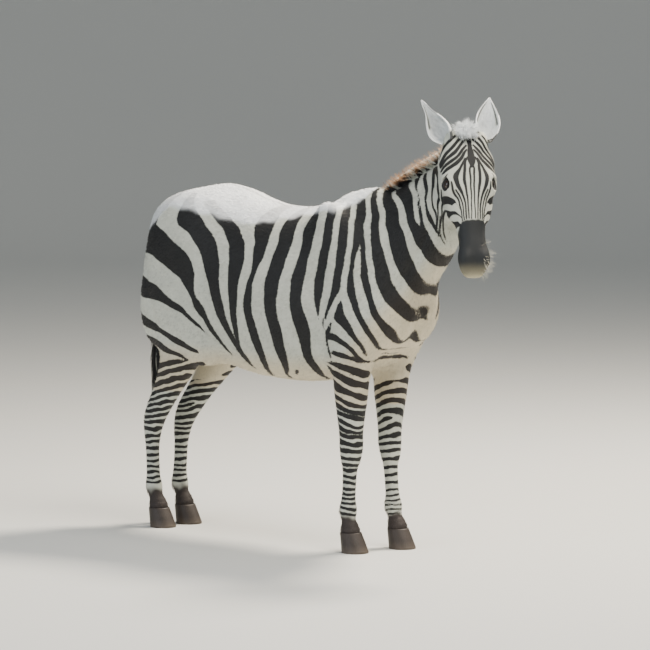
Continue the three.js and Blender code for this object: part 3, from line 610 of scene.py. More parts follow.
# the markings
# Dark stripes of the right side, each a list of [height, rear edge, front edge].
uprightStripes = {
    "throatLatch": [[1040, 702, 708], [1070, 702, 719], [1120, 690, 710], [1170, 678, 694], [1220, 666, 681],
            [1270, 649, 660], [1295, 634, 642], [1320, 609, 628], [1345, 585, 622], [1372, 588, 614]],
    "neckFront": [[1018, 700, 706], [1045, 689, 712], [1070, 678, 719], [1095, 668, 714], [1120, 656, 710],
                  [1145, 645, 702], [1170, 632, 682], [1195, 620, 657], [1220, 605, 645], [1245, 585, 637],
                  [1270, 553, 624], [1295, 503, 606], [1315, 505, 572], [1338, 528, 548]],
    "neckMiddle": [[915, 632, 637], [945, 624, 643], [970, 612, 648], [995, 599, 651], [1045, 581, 641],
                   [1095, 561, 630], [1145, 542, 612], [1195, 517, 583], [1220, 506, 569], [1245, 484, 549],
                   [1270, 466, 516], [1292, 446, 482]],
    "neckRear": [[838, 606, 612], [870, 591, 621], [895, 573, 618], [920, 556, 604], [970, 533, 578],
                 [1020, 516, 561], [1070, 501, 543], [1120, 484, 520], [1170, 467, 502], [1220, 450, 482],
                 [1270, 420, 445], [1296, 404, 424]],
    "shoulderFront": [[755, 553, 565], [770, 553, 569], [795, 548, 576], [820, 541, 574], [870, 518, 546],
                      [920, 499, 526], [970, 479, 508], [1020, 466, 490], [1070, 459, 476], [1105, 450, 468],
                      [1135, 434, 456]],
    "shoulderMiddle": [[730, 503, 509], [770, 502, 518], [820, 485, 509], [870, 461, 487], [920, 434, 467],
                       [945, 424, 459], [970, 424, 451], [1020, 427, 445], [1070, 427, 445], [1105, 424, 448],
                       [1145, 415, 451], [1170, 409, 441], [1195, 400, 435], [1220, 390, 429], [1262, 368, 404]],
    "shoulderRear": [[808, 318, 322], [845, 323, 337], [895, 341, 364], [945, 358, 393], [995, 366, 402],
                     [1045, 371, 406], [1095, 371, 408], [1145, 365, 397], [1195, 355, 381], [1245, 332, 356]],
    "girthFront": [[834, 302, 307], [870, 291, 306], [920, 281, 314], [970, 283, 322], [1020, 290, 330],
                   [1070, 296, 338], [1120, 302, 344], [1170, 301, 339], [1205, 300, 335], [1255, 284, 310]],
    "girth": [[608, 206, 220], [645, 204, 236], [695, 202, 239], [745, 209, 252], [795, 204, 261],
              [845, 192, 249], [895, 187, 234], [945, 186, 235], [995, 190, 242], [1045, 197, 245],
              [1095, 202, 256], [1145, 188, 258], [1195, 190, 262], [1245, 200, 250]],
    "flankFront": [[604, 44, 58], [620, 59, 77], [645, 79, 105], [670, 87, 123], [695, 91, 134],
                   [745, 93, 142], [795, 89, 142], [845, 80, 133], [895, 74, 130], [945, 73, 135],
                   [995, 78, 143], [1045, 86, 151], [1095, 91, 154], [1145, 76, 144], [1190, 74, 132],
                   [1225, 84, 124]],
    "flankMiddle": [[606, -40, -24], [620, -28, -8], [645, -15, 12], [670, -9, 23], [695, -6, 33],
                    [745, -8, 35], [795, -14, 30], [845, -22, 18], [895, -24, 15], [945, -12, 18],
                    [995, 2, 28], [1045, -2, 45], [1095, -16, 47], [1145, -46, 38], [1190, -52, 22], [1225, -40, 10]],
    "flankRear": [[700, -84, -76], [745, -90, -70], [820, -94, -60], [895, -98, -54], [970, -106, -48],
                  [1020, -110, -40], [1045, -116, -42], [1095, -140, -63], [1145, -185, -111],
                  [1170, -222, -159], [1200, -262, -205], [1235, -300, -262]],
    "haunchFront": [[632, -80, -72], [645, -88, -72], [670, -98, -68], [700, -108, -76], [745, -125, -92],
                    [795, -150, -108], [845, -175, -122], [895, -190, -136], [945, -205, -148],
                    [995, -229, -152], [1045, -250, -165], [1095, -290, -193], [1120, -316, -215],
                    [1145, -368, -245], [1170, -390, -273], [1210, -384, -322], [1260, -380, -352]],
    "haunch": [[680, -158, -150], [695, -174, -158], [745, -207, -182], [795, -240, -208], [845, -279, -233],
               [870, -290, -252], [895, -302, -272], [920, -322, -279], [950, -352, -277]],
    "croup": [[1104, -640, -596], [1120, -630, -545], [1145, -620, -505], [1170, -610, -498],
              [1195, -590, -476], [1220, -560, -452], [1250, -520, -432], [1282, -440, -404]],
    "elbow": [[715, 472, 478], [745, 468, 482], [770, 451, 474], [795, 429, 460], [820, 404, 451],
              [845, 376, 435], [870, 381, 419], [895, 389, 411], [908, 398, 402]],
    "armpit": [[700, 338, 346], [720, 329, 342], [745, 326, 337], [770, 328, 345], [790, 331, 352],
               [810, 340, 357], [830, 357, 367]],
    "bellySpot": [[624, 108, 118], [632, 116, 134], [642, 130, 144]],
}
cheekStripes = {  # from the mane over the cheek and down to the throat, in the same way
    "throat": [[1158, 725, 731], [1172, 717, 730], [1193, 706, 720], [1217, 696, 711], [1245, 690, 699],
               [1269, 682, 691], [1303, 672, 687], [1351, 640, 661], [1378, 618, 640]],
    "jawRear": [[1204, 729, 733], [1222, 725, 733], [1242, 718, 726], [1270, 712, 719], [1304, 706, 717],
                [1338, 696, 715], [1366, 686, 707], [1396, 668, 688]],
    "jaw": [[1162, 727, 731], [1183, 729, 734], [1218, 736, 742], [1253, 739, 749], [1288, 743, 759],
            [1313, 740, 757], [1340, 735, 751], [1366, 706, 740], [1384, 700, 722]],
    "cheekRear": [[1144, 729, 733], [1165, 735, 739], [1194, 742, 747], [1226, 755, 761], [1254, 762, 772],
                  [1283, 766, 780],
                  [1306, 770, 780]],
    "temple": [[1362, 786, 795], [1371, 782, 793], [1391, 780, 790], [1418, 758, 776], [1434, 750, 764]],
}
cheekArcs = {  # lines that curl under the jaw: [across the cheek, height, half width]
    "front": [[561, 1180, 2.6], [553, 1160, 3.4], [552, 1140, 3.4], [558, 1122, 3], [567, 1112, 2]],
    "middle": [[533, 1236, 4], [529, 1228, 4], [526, 1206, 3.4], [526, 1177, 3], [530, 1148, 2.8], [541, 1125, 2.6],
               [556, 1110, 2]],
    "rear": [[515, 1214, 2], [514, 1177, 2.4], [517, 1148, 2.4], [526, 1125, 2.4], [543, 1105, 2.2],
             [560, 1098, 1.8]],
    "last": [[503, 1208, 2], [503, 1172, 2.4], [510, 1146, 2]],
}
acrossCheek = np.array([0.748, 0.664, 0.0])  # the right cheek's own level direction
# The ones that lie along the haunch and forearm: [x, lower edge, upper edge].
lyingStripes = {
    "haunchRear": [[-640, 1034, 1120], [-600, 1034, 1136], [-520, 1032, 1146], [-445, 1000, 1120],
                   [-400, 976, 1094], [-360, 958, 1072], [-317, 940, 1045], [-290, 925, 1015], [-279, 930, 975]],
    "buttock": [[-640, 880, 960], [-600, 872, 952], [-540, 868, 936], [-482, 864, 920], [-439, 854, 895],
                [-388, 836, 870], [-345, 824, 850], [-300, 792, 812], [-270, 770, 785], [-250, 758, 764]],
    "thigh": [[-640, 776, 820], [-600, 764, 808], [-540, 752, 788], [-480, 738, 764], [-430, 716, 744],
              [-380, 698, 728], [-340, 684, 706], [-305, 676, 690]],
    "thighLow": [[-640, 702, 740], [-600, 692, 730], [-540, 684, 718], [-480, 670, 700], [-440, 662, 682],
                 [-400, 652, 668], [-370, 648, 652]],
    "forearm": [[331, 768, 800], [350, 766, 792], [375, 762, 790], [400, 752, 778], [425, 735, 762],
                [445, 708, 742], [460, 688, 714], [475, 676, 690]],
    "forearmLow": [[345, 718, 722], [360, 712, 730], [380, 706, 726], [400, 703, 724], [420, 700, 716],
                   [440, 690, 708], [462, 672, 694]],
}


def bandField(along, across, rows):  # how deep inside a band a point is; negative outside
    rows = sorted(rows)
    table = profile(rows)
    low, high = readProfile(table, along)
    slope = np.interp(along, table[0], np.abs(np.gradient(table[1].mean(1), table[0])))
    inside = np.minimum(across - low, high - across) / np.sqrt(1 + slope ** 2)
    return np.minimum(inside, np.minimum(along - rows[0][0] + 2, rows[-1][0] + 2 - along))


def wobble(p, size, seed):  # a smooth, seeded unevenness between about -1 and 1
    waves = np.random.default_rng(seed)
    total = np.zeros(len(p))
    for _ in range(4):
        direction = waves.normal(size=3)
        direction *= 2 * np.pi / size / np.linalg.norm(direction) * waves.uniform(0.7, 1.4)
        total += np.sin(p @ direction + waves.uniform(0, 6.28))
    return total / 2.6


def bodyMarks(p):  # the left side mirrors the right, a little out of step
    left = smoothStep(p[:, 1], 10, 90)
    x = p[:, 0] + left * (9 * wobble(p, 420, 3) + 6) + 1.6 * wobble(p, 70, 5)
    z = p[:, 2] + left * 8 * wobble(p, 380, 4) + 1.6 * wobble(p, 70, 6)
    field = np.full(len(p), -60.0)
    for rows in uprightStripes.values():
        field = np.maximum(field, bandField(z, x, rows))
    for rows in lyingStripes.values():
        field = np.maximum(field, bandField(x, z, rows))
    spine = 7 - np.abs(p[:, 1]) - 40 * smoothStep(p[:, 0], 380, 420)
    spine = np.where(p[:, 2] > 1130, spine, -60)
    field = np.maximum(field, spine)
    # short bars down the dock
    dock = (p[:, 0] < -654) & (p[:, 2] < 1080) & (np.abs(p[:, 1]) < 44)
    bars = 8 - np.abs((p[:, 2] + 2 * wobble(p, 50, 9)) % 44 - 22)
    return np.where(dock, np.where(np.abs(p[:, 1]) < 13, bars, np.minimum(bars, -3)), field)


legMarks = {  # dark rings: heights, dark share, tilts forwards and outwards, unevenness, a fork
    "fore_right": {"heights": [672, 628, 586, 549, 522, 497, 463, 440, 420, 393, 368, 340, 318, 298, 272, 250, 230,
                               212, 194, 176, 158, 140],
                   "dark": 0.71, "front": 0.34, "out": -0.05, "uneven": 3.0, "fork": (492, 1)},
    "fore_left": {"heights": [664, 618, 575, 535, 498, 462, 430, 405, 380, 350, 320, 290, 262, 235, 208, 188, 170,
                              154, 138, 124],
                  "dark": 0.55, "front": -0.45, "out": 0.3, "uneven": 2.6, "fork": (470, -1)},
    "hind_right": {"heights": [630, 592, 556, 524, 494, 466, 440, 414, 390, 366, 342, 318, 294, 270, 246, 224, 204,
                               184, 166],
                   "dark": 0.66, "front": -0.3, "out": 0.0, "uneven": 3.2, "fork": (452, 1)},
    "hind_left": {"heights": [622, 584, 549, 517, 487, 459, 433, 407, 383, 359, 335, 311, 287, 263, 240, 218, 198,
                              178, 160],
                  "dark": 0.64, "front": -0.3, "out": 0.0, "uneven": 3.2, "fork": (455, -1)},
}


def legRings(p, name):
    marks = legMarks[name]
    front, out = legFrame(p, name)
    above = smoothStep(p[:, 2], 380, 470)
    z = p[:, 2] + front * marks["front"] * (0.25 + 0.75 * above) + out * marks["out"] * above
    z = z + marks["uneven"] * wobble(p, 60, len(name) + 11) + 1.0 * wobble(p, 24, len(name) + 17)
    height, turned = marks["fork"]
    heights = np.array(marks["heights"][::-1], float)
    step = np.interp(p[:, 2], heights[1:], np.diff(heights))
    turning = turned * step * np.arctan2(p[:, 2] - height, out * 0.8 + front * 0.6) / (2 * np.pi)
    z = z + turning * smoothStep(-np.abs(p[:, 2] - height), -120, -60)
    i = np.clip(np.searchsorted(heights, z), 1, len(heights) - 1)
    near = np.minimum(np.abs(z - heights[i - 1]), np.abs(z - heights[i]))
    share = marks["dark"] * (0.85 + 0.15 * smoothStep(p[:, 2], 250, 500))
    inner = smoothStep(-out, 4, 30) * smoothStep(p[:, 2], *((590, 640) if name.startswith("fore") else (520, 590)))
    return step * share / 2 - near - inner * step * 0.6


def polyBand(a, b, rows):  # a band along a line of [a, b, half width], in any two coordinates
    rows = blendRows(rows, np.linspace(0, len(rows) - 1, 6 * (len(rows) - 1) + 1))
    best = np.full(len(a), -60.0)
    for (a0, b0, w0), (a1, b1, w1) in zip(rows[:-1], rows[1:]):
        along = ((a - a0) * (a1 - a0) + (b - b0) * (b1 - b0)) / ((a1 - a0) ** 2 + (b1 - b0) ** 2 + 1e-9)
        along = np.clip(along, 0, 1)
        best = np.maximum(best, w0 + along * (w1 - w0) - np.hypot(a - a0 - along * (a1 - a0),
            b - b0 - along * (b1 - b0)))
    return best


faceLines = {  # dark lines down the face: [out from the middle, along from the poll, half width]
    "blaze": [[0, 2, 6], [0, 20, 8], [0, 50, 8], [0, 75, 12], [0, 98, 15], [0, 114, 11], [0, 130, 4]],
    "inner": [[6, 128, 3], [8.5, 140, 3.6], [7, 164, 3.4], [6.5, 182, 3.1], [6, 206, 2.7], [5.5, 240, 2.2],
              [6, 275, 1.8], [7.5, 322, 1.6]],
    "second": [[15, 92, 3], [24, 110, 4], [27, 135, 5], [29.5, 159, 5.4], [29, 182, 5.4], [25, 206, 4.4],
               [22, 229, 3.4],
               [19, 252, 2.6], [17.5, 286, 2.1], [16, 322, 1.8]],
    "third": [[24, 96, 3], [35, 118, 4.4], [44, 135, 5], [55, 154, 7.4], [59, 171, 8], [54, 194, 7.4], [46, 213, 5.4],
              [37, 234, 3.8], [31, 252, 3.2], [27.5, 275, 2.7], [25, 322, 2.1]],
    "inside": [[60, 214, 2.4], [49, 236, 2.8], [41, 258, 2.4], [36, 288, 2], [33, 324, 1.8]],
    "innerCorner": [[74, 186, 2.4], [72, 201, 3.2], [69, 215, 3.4], [62, 232, 3], [52, 252, 2.6], [48, 274, 2.2],
                    [42, 300, 2], [40, 326, 1.8]],
    "brow": [[14, 62, 3.4], [24, 74, 4.6], [38, 96, 5.6], [58, 116, 6.4], [80, 132, 6.2], [96, 146, 4]],
    "crown": [[14, 44, 3.4], [30, 62, 5], [48, 85, 5.4], [69, 104, 5.2], [90, 121, 4.6], [100, 134, 3]],
    "crownTwo": [[15, 20, 3.4], [31, 38, 5], [53, 65, 5.4], [71, 84, 5.2], [85, 97, 5], [100, 117, 4]],
    "crownThree": [[22, 2, 3.4], [35, 15, 4.8], [58, 45, 5.2], [76, 66, 5.2], [91, 87, 5], [107, 117, 4]],
    "topmost": [[50, 6, 3.6], [66, 23, 4.4], [82, 40, 4.4], [94, 60, 4], [104, 84, 3]],
}
sideBands = {  # patches below the eye: [round from the middle line, upper edge, lower edge]
    "underEye": [[48, 281, 284], [57, 263, 267], [62, 252, 262], [73, 241, 264], [84, 236, 266], [95, 232, 261],
                 [105, 228, 258],
                 [126, 222, 252], [150, 215, 247], [172, 212, 238], [190, 214, 226]],
    "cheek": [[45, 314, 318], [55, 304, 312], [69, 290, 302], [85, 286, 299], [107, 281, 299], [136, 271, 300],
              [152, 270, 292],
              [168, 276, 286]],
    "nose": [[50, 342, 345], [58, 337, 345], [66, 331, 345], [75, 324, 344], [88, 321, 342], [105, 318, 341],
             [122, 312, 336], [140, 312, 326]],
}
faceSkew = {"at": [0, 80, 120, 160, 200, 240, 280, 320, 360], "out": [7, 8, 8, 5.5, 4, 3, 2, 1, 0]}


def headMarks(p):
    q = toHead(p)
    q = q + np.stack([1.0 * wobble(q, 40, 21), 0.8 * wobble(q, 36, 22), 0.8 * wobble(q, 40, 23)], 1)
    middle = np.interp(q[:, 0], faceSkew["at"], faceSkew["out"]) * smoothStep(-np.abs(q[:, 1]), -85, -40)
    t, out, up = q[:, 0], np.abs(q[:, 1] - middle), q[:, 2]
    face = np.full(len(p), -60.0)
    for rows in faceLines.values():
        face = np.maximum(face, polyBand(out, t, rows) + 0.5)
    face = face - (1 - smoothStep(up, 4, 16)) * 60
    around = np.abs(q[:, 1]) + np.maximum(40 - up, 0)
    for rows in sideBands.values():
        face = np.maximum(face, bandField(around, t, rows))
    slit, across, outwards = eyeFrame(q)
    rim = 5.5 - np.abs(np.hypot(slit / 1.35, across) - 13)
    rim = np.maximum(rim, polyBand(slit, across, [[-38, 6, 1.5], [-28, 3, 3], [-16, 0, 3]]))
    return np.maximum(face, np.where((outwards > -30) & (up > -10), rim, -60))


glareAbove = {  # painted sun glare: above this line the back is painted near white, its stripes only faint
    "x": [-640, -560, -520, -480, -450, -400, -300, -200, -100, 0, 100, 200, 330, 400, 460],
    "z": [1112, 1122, 1146, 1188, 1212, 1208, 1194, 1176, 1158, 1166, 1188, 1206, 1222, 1262, 1600],
}
warmBelow = {"x": [-300, 0, 250, 400, 560, 640, 720], "z": [700, 690, 690, 720, 900, 1010, 1090]}  # belly and chest


def markings(p):  # every coat piece reads these: stripe in mm, the rest as shares
    q = toHead(p)
    inHead = smoothStep(loftDistance(p, neckTable, throatRoundness) - headDistance(p), -4, 6)
    inHead = np.where((p[:, 0] > headStart) & (q[:, 0] > -30) & (q[:, 0] < 600), inHead, 0)
    body = bodyMarks(p)
    foreLeg = (p[:, 2] < 686) & (p[:, 0] > 290)
    hindLeg = (p[:, 2] < 648) & (p[:, 0] < -300)
    stripe = body.copy()
    for name in stance:
        mine = (foreLeg if name.startswith("fore") else hindLeg) & (np.sign(p[:, 1]) == stance[name][0])
        stripe[mine] = legRings(p[mine], name)
    some = inHead > 0.5
    mirrored = p.copy()
    mirrored[some] = fromHead(np.stack([q[some, 0], -np.abs(q[some, 1]), q[some, 2]], 1))
    side = (p[:, 0] > 560) & (p[:, 2] > 1060)
    throat = np.full(side.sum(), -60.0)
    for rows in cheekStripes.values():
        throat = np.maximum(throat, bandField(mirrored[side, 2] + 1.2 * wobble(p[side], 50, 14), mirrored[side, 0],
                                              rows) + 0.5)
    for rows in cheekArcs.values():
        arc = polyBand(mirrored[side] @ acrossCheek, mirrored[side, 2], rows)
        throat = np.maximum(throat, np.where(mirrored[side, 0] > 700, arc, -60))
    stripe[some] = headMarks(p[some])
    high = smoothStep(q[side, 2], -6, 6) * some[side]
    stripe[side] = np.maximum(stripe[side], np.where(some[side] | (np.abs(p[side, 1]) > 20), throat, -60) - 60 * high)
    # painted sun glare: fade rises to 1 above the glare line, where the back is painted near white
    glare = np.interp(p[:, 0], glareAbove["x"], glareAbove["z"])
    fade = smoothStep(p[:, 2] + 5 * wobble(p, 60, 31), glare - 9, glare + 12)
    low = np.interp(p[:, 0], warmBelow["x"], warmBelow["z"])
    warm = smoothStep(low + 60 - p[:, 2], 0, 130) * (p[:, 2] > 520)
    warm = np.maximum(warm, 0.25 * (1 - fade))
    t, out, up = q[:, 0], np.abs(q[:, 1]), q[:, 2]
    edge = 326 + 2.2 * np.clip(out - 40, 0, 12) + 0.5 * np.clip(15 - up, 0, 90) + 2 * wobble(q, 22, 33)
    nose = smoothStep(t, edge - 3, edge + 4) * inHead
    lip = smoothStep(t - 0.35 * up, 468, 575) * nose
    lip = np.maximum(lip, smoothStep(-up, 60, 95) * smoothStep(t, 400, 500) * nose)
    feet = 1 - smoothStep(p[:, 2] + 8 * wobble(p, 40, 35), 116, 138)
    hind = p[:, 0] < 0
    feet = np.where(hind, 1 - smoothStep(p[:, 2] + 8 * wobble(p, 40, 36), 128, 156), feet)
    return {"stripe": stripe, "fade": fade, "warm": warm, "nose": nose, "lip": lip, "feet": feet}


def storeMarks(mesh, marks):
    for name, values in marks.items():
        layer = mesh.attributes.new(name, "FLOAT", "POINT")
        layer.data.foreach_set("value", np.asarray(values, np.float32))


# white is greyed and tinted green: painted shade and the green cast of the surroundings on the white stripes
coatColours = {"white": "c6cdc6", "cream": "d2c9b2", "glareWhite": "f1f5f7", "black": "1e2123", "brown": "38302b",
               "nose": "26292b", "lip": "b8b193", "foot": "3a3432", "sunlitTan": "b98a5c"}


def coatMaterialNamed(name, bump=0.35, edge=1.2, hairSize=(0.09, 0.011), sunlitTipTone="sunlitTan", roughness=0.62):
    # short hair: dull, a little rough, dark where the stripes lie and never quite even
    made, tree, shader = newMaterial(name, {"Roughness": roughness, "Specular IOR Level": 0.3})
    marks = {key: addNode(tree, "ShaderNodeAttribute", attribute_name=key).outputs["Fac"]
             for key in ("stripe", "fade", "warm", "nose", "lip", "feet", "sun", "tone")}
    tone = {key: hexColour(code) for key, code in coatColours.items()}
    place = addNode(tree, "ShaderNodeTexCoord").outputs["Object"]
    fine = addNode(tree, "ShaderNodeTexNoise", {"Scale": 260.0, "Detail": 3.0}, {"Vector": place}).outputs["Fac"]
    broad = addNode(tree, "ShaderNodeTexNoise", {"Scale": 9.0, "Detail": 2.0}, {"Vector": place}).outputs["Fac"]
    ragged = addNode(tree, "ShaderNodeMath", {1: edge * 2.2, 2: -edge * 1.1}, {0: fine},
                     operation="MULTIPLY_ADD").outputs[0]
    inked = addNode(tree, "ShaderNodeMath", {}, {0: marks["stripe"], 1: ragged}, operation="ADD").outputs[0]
    dark = addNode(tree, "ShaderNodeMapRange", {"From Min": -edge, "From Max": edge}, {"Value": inked}).outputs[0]
    warm, fade = marks["warm"], marks["fade"]
    browned = addNode(tree, "ShaderNodeMath", {1: 0.5}, {0: warm}, operation="MULTIPLY").outputs[0]
    # painted sun glare: by fade the white turns fully to glareWhite and the stripes turn most of the way
    glaredInk = addNode(tree, "ShaderNodeMath", {1: 0.78}, {0: fade}, operation="MULTIPLY").outputs[0]
    # painted sunlight: the last layer turns hair tips to sunlitTan by the sun attribute
    layers = [("light", tone["white"], tone["cream"], warm), ("light", "light", tone["glareWhite"], fade),
              ("ink", tone["black"], tone["brown"], browned), ("ink", "ink", tone["glareWhite"], glaredInk),
              ("coat", "light", "ink", dark), ("coat", "coat", tone["nose"], marks["nose"]),
              ("coat", "coat", tone["lip"], marks["lip"]), ("coat", "coat", tone["foot"], marks["feet"]),
              ("coat", "coat", tone[sunlitTipTone], marks["sun"])]
    colour = {}
    for result, below, above, share in layers:
        values = {i: v for i, v in ((6, below), (7, above)) if not isinstance(v, str)}
        links = {i: colour[v] for i, v in ((6, below), (7, above)) if isinstance(v, str)}
        colour[result] = addNode(tree, "ShaderNodeMix", values, {0: share, **links}, data_type="RGBA").outputs[2]
    uneven = addNode(tree, "ShaderNodeMapRange", {"From Min": 0.2, "From Max": 0.8, "To Min": 0.9, "To Max": 1.08},
                     {"Value": broad})
    ownTone = addNode(tree, "ShaderNodeMath", {1: 0.13}, {0: marks["tone"], 2: uneven.outputs[0]},
                      operation="MULTIPLY_ADD")
    worn = addNode(tree, "ShaderNodeHueSaturation", {}, {"Color": colour["coat"], "Value": ownTone.outputs[0]})
    tree.links.new(worn.outputs[0], shader.inputs["Base Color"])
    long, thin = hairSize
    stretched = addNode(tree, "ShaderNodeMapping", {"Scale": (1 / long, 1 / thin / 4, 1 / thin / 4)},
                        {"Vector": place})
    strands = addNode(tree, "ShaderNodeTexNoise", {"Scale": 12.0, "Detail": 3.0}, {"Vector": stretched.outputs[0]})
    lift = addNode(tree, "ShaderNodeBump", {"Strength": bump, "Distance": 0.0015}, {"Height": strands.outputs["Fac"]})
    tree.links.new(lift.outputs[0], shader.inputs["Normal"])
    return made


coatMaterial = coatMaterialNamed("shortCoat")
tuftMaterial = coatMaterialNamed("coatTufts", bump=0.1)
skin = meshObject("skin", skinPoints, skinFaces, coatMaterial)
skinMarks = markings(skinPoints)
storeMarks(skin.data, skinMarks)
print("skin marked")
fleshNodes = ["trunk", "neck", "head", "tail_dock"]
fleshNodes += [f"leg_{name}_{part}" for name in stance for part in ("upper", "lower")]
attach(skin, "root")
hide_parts(*fleshNodes)


# tufts: one Geometry Nodes tree sets a small lock of hair over any ground
def tuftTree():
    tree = bpy.data.node_groups.new("locksOverGround", "GeometryNodeTree")
    for name, kind in (("Ground", "Geometry"), ("Lock", "Object"), ("Spacing", "Float"), ("Density", "Float"),
                       ("Lift", "Float"), ("Sway", "Float"), ("Seed", "Int"), ("Material", "Material")):
        tree.interface.new_socket(name=name, in_out="INPUT", socket_type="NodeSocket" + kind)
    tree.interface.new_socket(name="Locks", in_out="OUTPUT", socket_type="NodeSocketGeometry")
    given = addNode(tree, "NodeGroupInput").outputs
    cover = addNode(tree, "GeometryNodeInputNamedAttribute", {"Name": "cover"}, data_type="FLOAT").outputs[0]
    lie = addNode(tree, "GeometryNodeInputNamedAttribute", {"Name": "lie"}, data_type="FLOAT_VECTOR").outputs[0]
    length = addNode(tree, "GeometryNodeInputNamedAttribute", {"Name": "length"}, data_type="FLOAT").outputs[0]
    roots = addNode(tree, "GeometryNodeDistributePointsOnFaces", {}, {
        "Mesh": given["Ground"], "Distance Min": given["Spacing"], "Density Max": given["Density"],
        "Density Factor": cover, "Seed": given["Seed"]}, distribute_method="POISSON")
    standing = addNode(tree, "FunctionNodeAlignRotationToVector", {}, {"Vector": roots.outputs["Normal"]}, axis="Z")
    lying = addNode(tree, "FunctionNodeAlignRotationToVector", {}, {
        "Rotation": standing.outputs[0], "Vector": lie}, axis="Y", pivot_axis="Z")
    leastLift = addNode(tree, "ShaderNodeMath", {1: 0.5}, {0: given["Lift"]}, operation="MULTIPLY").outputs[0]
    mostLift = addNode(tree, "ShaderNodeMath", {1: 1.5}, {0: given["Lift"]}, operation="MULTIPLY").outputs[0]
    backSway = addNode(tree, "ShaderNodeMath", {1: -1.0}, {0: given["Sway"]}, operation="MULTIPLY").outputs[0]
    least = addNode(tree, "ShaderNodeCombineXYZ", {"Y": -0.15}, {"X": leastLift, "Z": backSway}).outputs[0]
    most = addNode(tree, "ShaderNodeCombineXYZ", {"Y": 0.15}, {"X": mostLift, "Z": given["Sway"]}).outputs[0]
    swing = addNode(tree, "FunctionNodeRandomValue", {}, {0: least, 1: most, "Seed": given["Seed"]},
                    data_type="FLOAT_VECTOR")
    turned = addNode(tree, "FunctionNodeEulerToRotation", {}, {0: swing.outputs[0]}).outputs[0]
    posed = addNode(tree, "FunctionNodeRotateRotation", {}, {0: lying.outputs[0], 1: turned}, rotation_space="LOCAL")
    grown = addNode(tree, "FunctionNodeRandomValue", {2: 0.75, 3: 1.2}, {"Seed": given["Seed"]}, data_type="FLOAT")
    scale = addNode(tree, "ShaderNodeMath", {}, {0: grown.outputs[1], 1: length}, operation="MULTIPLY").outputs[0]
    lock = addNode(tree, "GeometryNodeObjectInfo", {}, {"Object": given["Lock"]}).outputs["Geometry"]
    placed = addNode(tree, "GeometryNodeInstanceOnPoints", {}, {
        "Points": roots.outputs["Points"], "Instance": lock, "Rotation": posed.outputs[0], "Scale": scale})
    joined = addNode(tree, "GeometryNodeRealizeInstances", {}, {"Geometry": placed.outputs[0]}).outputs[0]
    dressed = addNode(tree, "GeometryNodeSetMaterial", {}, {"Geometry": joined,
        "Material": given["Material"]}).outputs[0]
    addNode(tree, "NodeGroupOutput", {}, {"Locks": dressed})
    return tree


locksOverGround = tuftTree()


def lockShape(name, length, width, blades=3, fan=0.35, parts=2, bend=0.12,
              seed=1):  # flat tapering blades, millimetres
    draw = np.random.default_rng(seed)
    points, faces = [], []
    for blade in range(blades):
        turn = fan * (blade - (blades - 1) / 2) + draw.uniform(-0.08, 0.08)
        own = length * draw.uniform(0.8, 1.1)
        start = len(points)
        for part in range(parts + 1):
            share = part / parts
            half = width / 2 * (1 - share) ** 0.6 if part else width * 0.42
            along, rise = own * share, own * bend * math.sin(math.pi * share * 0.8) + 0.15 * blade
            sides = (0,) if part == parts else (-half, half)
            for x in sides:
                points.append((x * math.cos(turn) + along * math.sin(turn),
                               along * math.cos(turn) - x * math.sin(turn), rise))
        for part in range(parts - 1):
            a = start + 2 * part
            faces.append((a, a + 1, a + 3, a + 2))
        faces.append((len(points) - 3, len(points) - 2, len(points) - 1))
    mesh = bpy.data.meshes.new(name)
    mesh.from_pydata((np.array(points) / 1000).tolist(), [], faces)
    mesh.shade_smooth()
    made = bpy.data.objects.new(name, mesh)
    scene.collection.objects.link(made)
    tips = np.array([q[1] for q in points]) / length
    return made, np.clip(tips, 0, 1)


def subMesh(points, faces, picked):  # the faces whose corners' middle is picked
    middles = np.array([points[f].mean(0) for f in faces])
    keep = [f for f, wanted in zip(faces, picked(middles)) if wanted]
    used = np.unique(np.concatenate([np.asarray(f) for f in keep]))
    place = np.full(len(points), -1)
    place[used] = np.arange(len(used))
    return used, [[place[i] for i in f] for f in keep]


